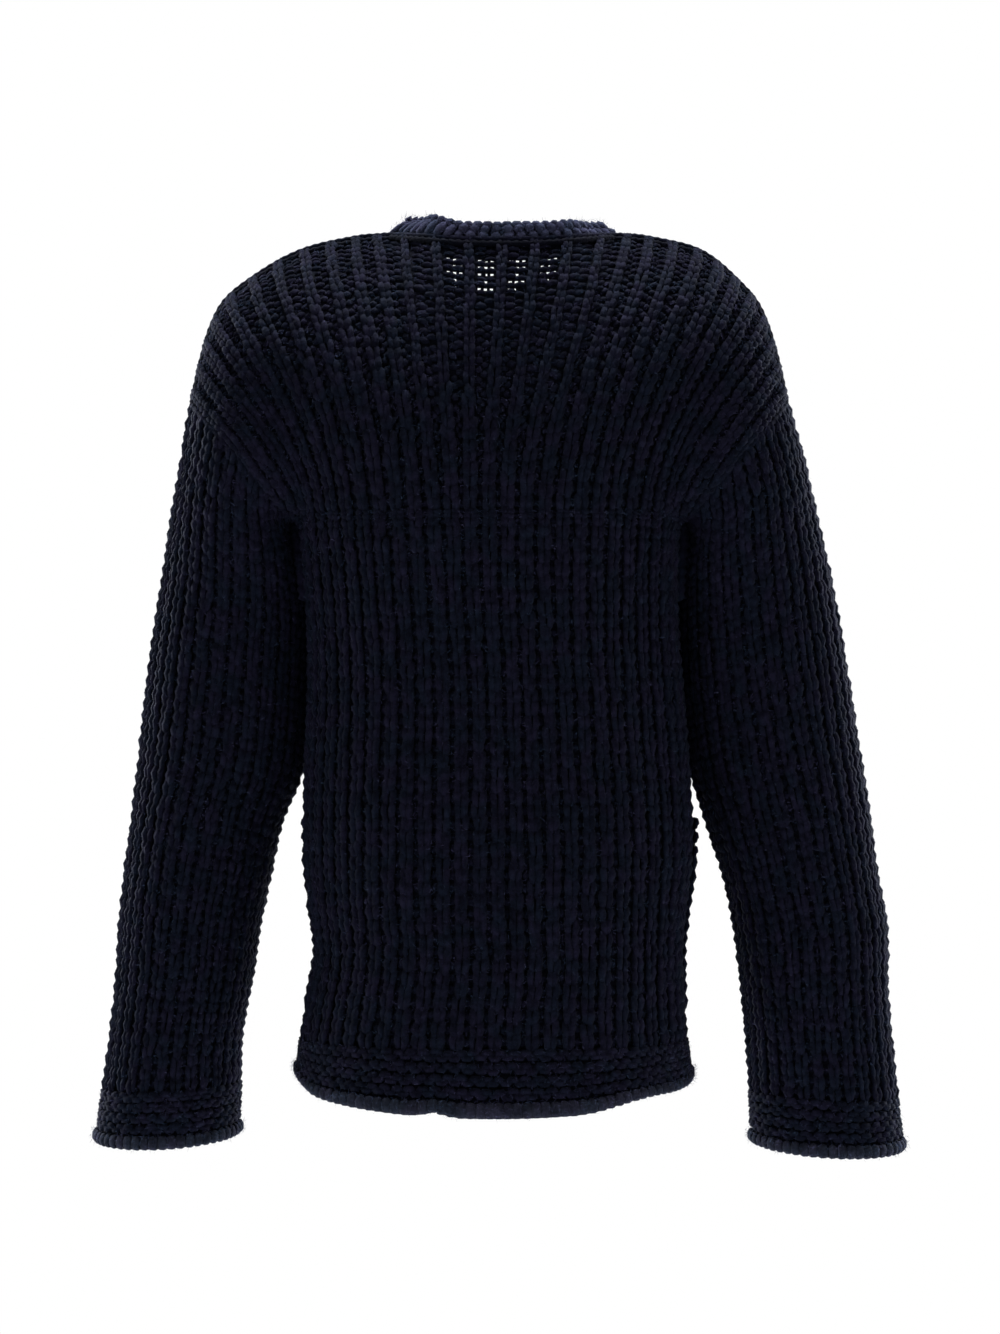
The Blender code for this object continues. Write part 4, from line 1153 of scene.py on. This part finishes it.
def rolled_edge(patch, stitches):
    """Plump strands over a band's edge."""
    count = int(ROLL_STRANDS * stitches)
    u = (np.arange(count) + 0.5) * stitches / count
    wide = patch.read(u, 0.9)[:, WIDE, None] * stitches / count
    across = wide * scatter(count, 0.03)
    size = ROLL.size * jitter(count, 0.05)
    return [strands_on(patch, u, 0.0, across, ROLL.up, ROLL.lift, ROLL_WIDTH * wide * size,
                       ROLL_THICK * size)]


def garter_bands(name, patch, stitches):
    """A band of garter ridges over a rolled edge."""
    us = np.linspace(0, stitches, 2 * stitches + 1)
    # The cloth takes the darker yarn, painted shade between the ridges.
    cloth = shell(name + "_cloth", patch, us[:-1] if patch.closed else us, GARTER_LIFT_V,
                  lambda u, v: np.interp(v, GARTER_LIFT_V, GARTER_LIFT), lambda u, v: 0.0, PAINTED_SHADE_YARN)
    knit = yarn_object(name + "_stitches", garter_ridges(patch, stitches), YARN)
    # The rolled edge takes the lighter yarn, painted light.
    roll = yarn_object(name + "_roll", rolled_edge(patch, stitches), PAINTED_LIGHT_ROLL_YARN)
    nap = halo(name + "_nap", patch, GARTER_NAP)
    fringe = halo(name + "_roll_nap", patch, ROLL_NAP, ROLL_FROM)
    declare(patch, name)


def add_hem(name, face, side=None):
    width = FRONT_WIDTH if face == "front" else 2 * FRONT_WIDTH
    stitches = int(round(width / STITCH_WIDTH))

    def across(u):
        share = u / stitches
        return front_across(side, share) if side is not None else -1.0 + 2.0 * share

    def out(u, v):
        return panel_out(face, across(u), 0.0)

    def point(u, v):
        place = body_point(face, across(u), -v)
        for middle, half, rise in HEM_LIFTS:
            place = place + UP * rise * ease(1.0 - abs(place[0] - middle) / half) * v * v
        if side is None:
            return place
        return place + lap(side, across(u)) * out(u, v)

    patch = Patch(np.linspace(0, stitches, stitches + 1), np.linspace(0, 1, 7), point, out)
    garter_bands(name, patch, stitches)


def add_cuff(label, side):
    def column(u):
        return SLEEVE_RIBS * u / CUFF_STITCHES

    patch = Patch(np.linspace(0, CUFF_STITCHES, CUFF_STITCHES + 1), np.linspace(0, 1, 3),
                  lambda u, v: cuff_point(side, column(u), v),
                  lambda u, v: sleeve_out(side, column(u), 1.0), closed=True)
    garter_bands("cuff_" + label, patch, CUFF_STITCHES)


# ---------------------------------------------------------------- neckband, bands and pockets
def add_neckband():
    """Plump slanted ribs that climb the band, turn over its top and go down inside."""
    patch = Patch(np.linspace(0, NECK_STITCHES, 2 * NECK_STITCHES + 1), np.linspace(0, 1, 5),
                  lambda u, v: neckband_point(u / NECK_STITCHES, v),
                  lambda u, v: neckband_out(u / NECK_STITCHES, v))
    # The cloth takes the darker yarn, painted shade between the ribs.
    cloth = shell("neckband_cloth", patch, rib_places(0, NECK_STITCHES, COARSE),
                  np.linspace(-0.03, 0.92, 5), lambda u, v: 0.0028, lambda u, v: 0.0006, PAINTED_SHADE_YARN)
    u = np.arange(NECK_STITCHES) + 0.5
    row = patch.read(u, 0.5)
    wide = row[:, WIDE, None]
    slant = NECK_RIB_SLANT * np.clip((row[:, :1] - NECK_SHIFT) / 0.05, -1.0, 1.0)
    long = slant[:, 0] > LONG_RIB_SLANT
    parts = []
    for ends, has in ((NECK_RIBS_LONG, long), (NECK_RIBS_LOW, ~long), (NECK_RIBS_HIGH, ~long)):
        up = np.linspace(*ends, len(NECK_RIB.lift)) + scatter(has.sum(), 0.03)
        across = wide[has] * slant[has] * (up - 0.5)
        size = NECK_RIB.size * jitter(has.sum(), 0.10)
        parts.append(strands_on(patch, u[has], 0.0, across, up, NECK_RIB.lift,
                                NECK_RIB_WIDTH * wide[has] * size, NECK_RIB_THICK * size))
    size = NECK_TURN.size * jitter(NECK_STITCHES, 0.07)
    parts.append(strands_on(patch, u, 0.0, wide * slant * NECK_TURN.across, NECK_TURN.up,
                            NECK_TURN.lift, NECK_TURN_WIDTH * wide * size,
                            NECK_TURN_THICK * size))
    # The neckband's ribs take the lighter yarn, painted light.
    knit = yarn_object("neckband_stitches", parts, PAINTED_LIGHT_NECK_YARN)
    nap = halo("neckband_nap", patch, NECK_NAP)
    declare(patch, "neckband")


FRONT_BAND_COLUMNS = 3
FRONT_BAND_HEM_ROWS = 5   # rows that the bands carry on beside the hem


def add_front_band(name, side):
    """Lengthwise columns of stitches along the edge of one front."""
    def across(u):
        return side * BAND_SHARE * (-1.0 + 2.0 * u / FRONT_BAND_COLUMNS)

    def out(u, row):
        return panel_out("front", across(u), max(row, 0.0))

    def point(u, row):
        return panel_point("front", across(u), row) + lap(side, across(u)) * out(u, row)

    def row_of(v):
        return v / FRONT_BAND_HEM_ROWS if v < 0 else body_row(v)

    vs = np.arange(-FRONT_BAND_HEM_ROWS, BODY_STITCHES + 1).astype(float)
    patch = Patch(np.linspace(0, FRONT_BAND_COLUMNS, 2 * FRONT_BAND_COLUMNS + 1), vs, point, out,
                  row_of=row_of)
    # The cloth takes the darker yarn, painted shade in the gaps between stitches.
    cloth = shell(name + "_cloth", patch, rib_places(0, FRONT_BAND_COLUMNS, MEDIUM), vs,
                  shell_lift, shell_inside, PAINTED_SHADE_YARN)
    rows = np.arange(-FRONT_BAND_HEM_ROWS, BODY_STITCHES) + 0.5
    u, v = stitch_places(np.arange(FRONT_BAND_COLUMNS) + 0.5, rows)
    parts = legs(patch, u, np.maximum(v, 1.0 - FRONT_BAND_HEM_ROWS), sides=4)
    parts += bars(patch, *stitch_places(np.arange(1, FRONT_BAND_COLUMNS).astype(float), rows))
    knit = yarn_object(name + "_stitches", parts, YARN)
    declare(patch, name)


POCKET_CLEAR = 0.0052     # how far the pockets stand off the base surface of the fronts
POCKET_ARC_PITCH = 0.62   # in ribs


def pocket_top(patch, first, last, high):
    """Three garter ridges along a pocket's top."""
    parts = []
    for at in (high - 2.6, high - 1.5, high - 0.4):
        for flip, shift in ((1.0, 0.0), (-1.0, 0.5)):
            u = np.arange(first + 0.25, last, POCKET_ARC_PITCH) + POCKET_ARC_PITCH * shift
            u = u[u < last - 0.1]
            v = np.full(len(u), at - 0.16 * flip)
            wide = POCKET_ARC_PITCH * patch.read(u, v)[:, WIDE, None]
            size = POCKET_ARC.size * jitter(len(u), 0.06)
            parts.append(strands_on(patch, u, v, POCKET_ARC_REACH * wide * POCKET_ARC.across,
                                    -flip * POCKET_ARC.up, POCKET_ARC.lift,
                                    POCKET_ARC_WIDTH * size, POCKET_ARC_THICK * size))
    return parts


def add_pocket(label, side):
    """Patch pocket with the front's own ribs and a garter top."""
    gape = RIGHT_POCKET_GAPE if side == RIGHT else 0.0
    first, last = POCKET_RIBS
    low, high = (LOW_STITCHES * row for row in POCKET_ROWS)

    def out(u, v):
        return panel_out("front", front_across(side, u / FRONT_RIBS), v / LOW_STITCHES)

    def point(u, v):
        across = front_across(side, u / FRONT_RIBS)
        to_side = ease((u - first) / (last - first))
        to_top = ease((v - low) / (high - low))
        clear = POCKET_CLEAR + gape * to_side * to_top
        return (panel_point("front", across, v / LOW_STITCHES)
                + out(u, v) * (clear + lap(side, across)))

    stitches = int(round(high - low))
    vs = np.linspace(low, high, stitches + 1)
    patch = Patch(np.linspace(first, last, 2 * (last - first) + 1), vs, point, out)
    # The cloth takes the darker yarn, painted shade in the gaps between stitches.
    cloth = shell(f"pocket_{label}_cloth", patch, rib_places(first, last, MEDIUM), vs,
                  lambda u, v: 0.0012, lambda u, v: 0.0, PAINTED_SHADE_YARN)
    rows = low + (np.arange(stitches - 3) + 0.5) * (high - low) / stitches
    u, v = stitch_places(np.arange(first, last) + 0.5, rows)
    parts = legs(patch, u, v, rise=-0.0014, sides=4)
    u, v = stitch_places(np.arange(first + 1, last).astype(float), rows)
    parts += bars(patch, u, v, rise=-0.0008)
    parts += pocket_top(patch, first, last, high)
    knit = yarn_object(f"pocket_{label}_stitches", parts, YARN)
    declare(patch, "pocket_" + label)


# ---------------------------------------------------------------- buttons
PLATE_RADIUS = 0.0104     # of a button's middle, inside its rim
PLATE_HEIGHT = 0.0015
THREAD_HOLE_RADIUS = 0.00095
THREAD_HOLE_ASIDE = 0.0022
BUTTON_RIM = ((0.0096, 0.0006), (0.0108, 0.0000), (0.0120, 0.0008), (0.0125, 0.0020),
              (0.0122, 0.0033), (0.0113, 0.0040), (0.0102, 0.0036), (0.0097, 0.0024))
BAND_TOP = BAND_LAP + WALL + RIB_RISE    # height of the upper band off the base surface
BUTTONHOLE_SHIFT, BUTTONHOLE_HALF, BUTTONHOLE_SLIT = 0.004, 0.0122, 0.0011
THREAD_RUN = np.array((-1.0, -1.0, -0.55, 0.0, 0.55, 1.0, 1.0))
THREAD_HEIGHT = np.array((0.0002, 0.0020, 0.0031, 0.0033, 0.0031, 0.0020, 0.0002))


def rope(points, out, half, sides):
    """A twisted cord along a run of points."""
    outs = np.repeat(out[None], len(points), axis=0)
    size = (half * (1.0 + 0.10 * np.cos(np.arange(len(points)) * math.pi)))[None]
    return strand_mesh(points[None], outs[None], size, size, sides)


def button_row():
    """Rows of the front where the buttons sit, evenly spaced along the band."""
    rows = np.linspace(0.0, 2.0, 121)
    lengths = chord_lengths(np.array([panel_point("front", 0.0, row) for row in rows]))
    places = np.linspace(BUTTON_FROM_HEM, lengths[-1] - BUTTON_FROM_NECK, BUTTONS)
    return [float(np.interp(at, lengths, rows)) for at in places]


def button_spot(row, clear):
    """Place of a button at a height off the front, and axes across, up and out of it."""
    axis = panel_out("front", 0.0, row)
    across = unit(np.cross(UP, axis))
    return (panel_point("front", 0.0, row) + axis * clear,
            np.stack((across, np.cross(axis, across), axis)))


def turned(profile, sides):
    """Points and quads of a closed profile, of radius and height, turned round the third axis."""
    turns = 2 * math.pi * np.arange(sides) / sides
    points = np.array([(radius * math.cos(turn), radius * math.sin(turn), height)
                       for radius, height in profile for turn in turns])
    ring = np.arange(sides)
    ahead = (ring + 1) % sides
    quads = []
    for k in range(len(profile)):
        a, b = k * sides, (k + 1) % len(profile) * sides
        quads.append(np.stack((a + ring, a + ahead, b + ahead, b + ring), axis=1))
    return points, np.concatenate(quads)


def button_plate():
    """Points, and faces grouped by their corners, of a soft-edged disc with four holes."""
    curve = bpy.data.curves.new("plate", "CURVE")
    curve.dimensions = "2D"
    curve.fill_mode = "BOTH"
    curve.extrude = 0.0007
    curve.bevel_depth = 0.00025
    curve.bevel_resolution = 1
    aside = THREAD_HOLE_ASIDE
    circles = [(0.0, 0.0, PLATE_RADIUS, 40)]
    circles += [(aside * a, aside * b, THREAD_HOLE_RADIUS, 14) for a in (-1, 1) for b in (-1, 1)]
    for x, y, radius, corners in circles:
        line = curve.splines.new("POLY")
        line.points.add(corners - 1)
        turns = np.linspace(0, 2 * math.pi, corners, endpoint=False)
        for point, turn in zip(line.points, turns):
            point.co = (x + radius * math.cos(turn), y + radius * math.sin(turn), 0.0, 1.0)
        line.use_cyclic_u = True
    plate = bpy.data.objects.new("plate", curve)
    bpy.context.scene.collection.objects.link(plate)
    bpy.context.view_layer.update()
    graph = bpy.context.evaluated_depsgraph_get()
    mesh = bpy.data.meshes.new_from_object(plate.evaluated_get(graph))
    bpy.data.objects.remove(plate, do_unlink=True)
    points = np.array([tuple(vertex.co) for vertex in mesh.vertices])
    groups = {}
    for face in mesh.polygons:
        groups.setdefault(len(face.vertices), []).append(tuple(face.vertices))
    return points, [np.array(group) for group in groups.values()]


def add_buttons():
    """Six buttons, each sewn on with two pairs of threads."""
    plate, groups = button_plate()
    rim, quads = turned(BUTTON_RIM, 48)
    for number, row in enumerate(button_row(), 1):
        place, axes = button_spot(row, BAND_TOP + SEAM_GAP)
        points = np.concatenate((plate + (0.0, 0.0, PLATE_HEIGHT), rim))
        item = mesh_object(f"button_{number}_disc", place + points @ axes,
                           groups + [quads + len(plate)], HORN)
        item.data.set_sharp_from_angle(angle=math.radians(40))
        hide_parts(f"button_{number}")
        parts = []
        for side in (-THREAD_HOLE_ASIDE, THREAD_HOLE_ASIDE):
            for shift in (-0.0003, 0.0003):
                line = np.stack((np.full(len(THREAD_RUN), side + shift),
                                 THREAD_HOLE_ASIDE * THREAD_RUN, THREAD_HEIGHT), axis=1)
                parts.append(rope(place + line @ axes, axes[2], 0.00035, 5))
        yarn_object(f"button_{number}_thread", parts, YARN)


def add_buttonholes():
    """Short stitched slits under the buttons, on the upper band."""
    parts = []
    for row in button_row():
        place, axes = button_spot(row, BAND_TOP + 0.0002)
        turns = np.linspace(0, 2 * math.pi, 25)
        line = np.stack((BUTTONHOLE_SHIFT + BUTTONHOLE_HALF * np.cos(turns),
                         BUTTONHOLE_SLIT * np.sin(turns), np.zeros(len(turns))), axis=1)
        parts.append(rope(place + line @ axes, axes[2], 0.0006, 6))
    yarn_object("buttonhole_stitching", parts, YARN)


# ---------------------------------------------------------------- seams
ROLL_ROWS = 0.020         # how far below the neck and shoulder seams the rolled ridge lies
SHOULDER_OVERLAP = 0.06   # how far the shoulders' ridges run inside the neck's corners
RIDGE_STEP = 0.0032
UNDERARM_FROM, UNDERARM_TO = -0.2120, -0.2780      # heights between which yarn bunches there
UNDERARM_DEPTHS = (0.004, -0.010, -0.024, -0.038, -0.050)
UNDERARM_STRAND, ARMHOLE_RIDGE = 0.0054, 0.0026    # half as thick as each is
# Lift and half thickness of the ridge along a seam, and of the rolled ridge below it.
NECK_RIDGES = (0.0050, 0.0018, 0.0040, 0.0026)
SHOULDER_RIDGES = (0.0046, 0.0019, 0.0030, 0.0024)
KNOT_LIFTS = (0.0012, 0.0036)
KNOT_RUN = np.array((-0.009, -0.006, 0.0, 0.006, 0.009))[:, None] * BACKWARD
KNOT_SIZE = 0.0030 * np.array((0.0, 0.8, 1.0, 0.8, 0.0))[None]


def seam_strand(line, outs, half):
    """Plump yarn ridge along a seam, waisted at each stitch."""
    line, outs = np.array(line, float), np.array(outs, float)
    lengths = chord_lengths(line)
    steps = int(lengths[-1] / RIDGE_STEP)
    at = np.linspace(0, lengths[-1], steps)
    size = half * (1.0 + 0.16 * np.cos(np.arange(steps) * math.pi))
    size[[0, -1]] = 0.0
    return strand_mesh(read_off(lengths, line, at)[None], units(read_off(lengths, outs, at))[None],
                       size[None], size[None], 7)


def top_ridges(acrosses, lift, half, low_lift, low_half):
    """Ridge along the back's top edge, and the rolled ridge below it."""
    line, low, outs = [], [], []
    for across in acrosses:
        away = top_edge_out("back", across)
        line.append(top_edge("back", across)[0] + away * lift)
        low.append(panel_point("back", across, 2.0 - ROLL_ROWS) + away * low_lift)
        outs.append(away)
    return seam_strand(line, outs, half), seam_strand(low, outs, low_half)


def armhole_ridge(side):
    """Ridge all round an armhole, up its back and down its front."""
    line, outs = [], []
    for turn, climbs in ((1.0, np.linspace(0, 1, 40)), (-1.0, np.linspace(1, 0, 40)[1:])):
        for climb in climbs:
            away = armhole_out(side, climb, turn)
            line.append(armhole_point(side, climb, turn) + away * ARMHOLE_RIDGE)
            outs.append(away)
    return seam_strand(line, outs, ARMHOLE_RIDGE)


def shoulder_knots(side):
    """Two knots over the place where the shoulder seam meets the armhole."""
    end, _ = top_edge("back", side)
    out = armhole_out(side, 1.0, 1.0)
    outs = np.repeat(out[None], len(KNOT_RUN), axis=0)[None]
    return [strand_mesh((end + out * lift + KNOT_RUN)[None], outs, KNOT_SIZE, KNOT_SIZE, 6)
            for lift in KNOT_LIFTS]


def underarm_strands(side):
    """Yarn bunched in the narrow slit between the body and the top of a sleeve."""
    parts = []
    inner = np.array([sleeve_point(side, 0.0, at) for at in np.linspace(0.0, 0.3, 40)])
    for depth in UNDERARM_DEPTHS:
        line = []
        for z in np.linspace(UNDERARM_FROM, UNDERARM_TO, 8):
            body = section_point("back", side, z)[0]
            arm = np.interp(-z, -inner[:, 2], inner[:, 0])
            line.append(((body + arm) / 2, depth, z))
        parts.append(seam_strand(line, [BACKWARD] * len(line), UNDERARM_STRAND))
    return parts


def add_seams():
    """Shoulder and armhole ridges, the rolled ridge below the neckband and the underarm's bunch."""
    corner = corner_share("back")
    tops = [top_ridges(corner * np.linspace(-1.0, 1.0, 61), *NECK_RIDGES)]
    parts = []
    for side in (LEFT, RIGHT):
        shoulder = side * np.linspace(corner - SHOULDER_OVERLAP, 1.0, 44)
        tops.append(top_ridges(shoulder, *SHOULDER_RIDGES))
        parts += [armhole_ridge(side), *shoulder_knots(side), *underarm_strands(side)]
    ridges, rolls = zip(*tops)
    yarn_object("seam_ridges", parts + list(ridges), YARN)
    # The rolled ridge below the seams takes the darker yarn, painted shade under the ridge above
    # it.
    yarn_object("seam_rolls", rolls, PAINTED_SHADE_YARN)


# ---------------------------------------------------------------- build
add_back()
for name, hand in (("left", LEFT), ("right", RIGHT)):
    add_front(name, hand)
    add_sleeve(name, hand)
    add_cuff(name, hand)
    add_hem(f"hem_front_{name}", "front", hand)
    add_pocket(name, hand)
add_hem("hem_back", "back")
add_neckband()
add_front_band("button_band", LEFT)
add_front_band("buttonhole_band", RIGHT)
add_buttonholes()
add_buttons()
add_seams()


# ---------------------------------------------------------------- floor, lights and camera
FLOOR_HALF, FLOOR_HEIGHT = 3.0, -1.42
WHITE, COOL = (1.0, 1.0, 1.0), (0.84, 0.88, 1.0)

Light = namedtuple("Light", "name place target size power colour")
LIGHTS = (
    Light("key", (1.9, 2.2, 1.6), (0.0, 0.0, -0.3), 1.4, 74.0, WHITE),
    Light("fill", (-2.1, 2.0, 0.9), (0.0, 0.0, -0.3), 1.4, 50.0, WHITE),
    Light("rim_left", (1.75, -1.25, 0.1), (0.0, 0.0, -0.35), 1.5, 250.0, COOL),
    Light("rim_right", (-1.75, -1.25, 0.1), (0.0, 0.0, -0.35), 1.5, 250.0, COOL),
    Light("rim_top", (0.0, -0.40, 2.0), (0.0, 0.0, -0.1), 1.0, 330.0, COOL),
)

PHOTO_SPAN = 0.79         # metres across the photo's width, in the plane of the shoulders
CAMERA_DISTANCE = 3.6
CAMERA_SHIFT = -0.0024    # the photo's middle column
CAMERA_HEIGHT = -0.329    # and its middle row


def add_floor():
    mesh = bpy.data.meshes.new("studio_floor")
    corners = ((-1, -1), (1, -1), (1, 1), (-1, 1))
    mesh.from_pydata([(FLOOR_HALF * x, FLOOR_HALF * y, FLOOR_HEIGHT) for x, y in corners],
                     [], [(0, 1, 2, 3)])
    floor = bpy.data.objects.new("studio_floor", mesh)
    bpy.context.scene.collection.objects.link(floor)
    material, tree, shader = new_material("pale_floor")
    colour = add_ramp(tree, add_noise(tree, None, Scale=3.0), (0.0, (0.86, 0.86, 0.86)),
                      (1.0, (0.90, 0.90, 0.90)))
    tree.links.new(colour, shader.inputs["Base Color"])
    set_inputs(shader, Roughness=0.8)
    mesh.materials.append(material)


def add_light(light):
    data = bpy.data.lights.new(light.name, "AREA")
    data.shape = "SQUARE"
    data.size = light.size
    data.energy = light.power
    data.color = light.colour
    item = bpy.data.objects.new(light.name, data)
    away = unit(np.subtract(light.place, light.target))
    right = unit(np.cross(UP, away))
    matrix = np.eye(4)
    matrix[:3] = np.stack((right, np.cross(away, right), away, light.place), axis=1)
    item.matrix_world = Matrix(matrix.tolist())
    bpy.context.scene.collection.objects.link(item)


def add_world():
    """White studio, brighter at the front than behind."""
    world = bpy.data.worlds.new("studio")
    bpy.context.scene.world = world
    world.use_nodes = True
    tree = world.node_tree
    link = tree.links.new
    back = tree.nodes["Background"]
    set_inputs(back, Color=(*WHITE, 1.0))
    place = tree.nodes.new("ShaderNodeTexCoord")
    parts = tree.nodes.new("ShaderNodeSeparateXYZ")
    fall = tree.nodes.new("ShaderNodeMapRange")
    set_inputs(fall, From_Min=-0.6, From_Max=0.6, To_Min=1.0, To_Max=0.5)
    link(place.outputs["Generated"], parts.inputs["Vector"])
    link(parts.outputs["Y"], fall.inputs["Value"])
    link(fall.outputs["Result"], back.inputs["Strength"])


def add_camera():
    data = bpy.data.cameras.new("camera")
    data.sensor_fit = "HORIZONTAL"
    data.sensor_width = 36.0
    data.lens = data.sensor_width * CAMERA_DISTANCE / PHOTO_SPAN
    camera = bpy.data.objects.new("camera", data)
    camera.location = (CAMERA_SHIFT, CAMERA_DISTANCE, CAMERA_HEIGHT)
    camera.rotation_euler = (math.radians(90.0), 0.0, math.radians(180.0))
    bpy.context.scene.collection.objects.link(camera)
    bpy.context.scene.camera = camera


add_floor()
add_world()
for lamp in LIGHTS:
    add_light(lamp)
add_camera()
bpy.context.scene.view_settings.view_transform = "Standard"
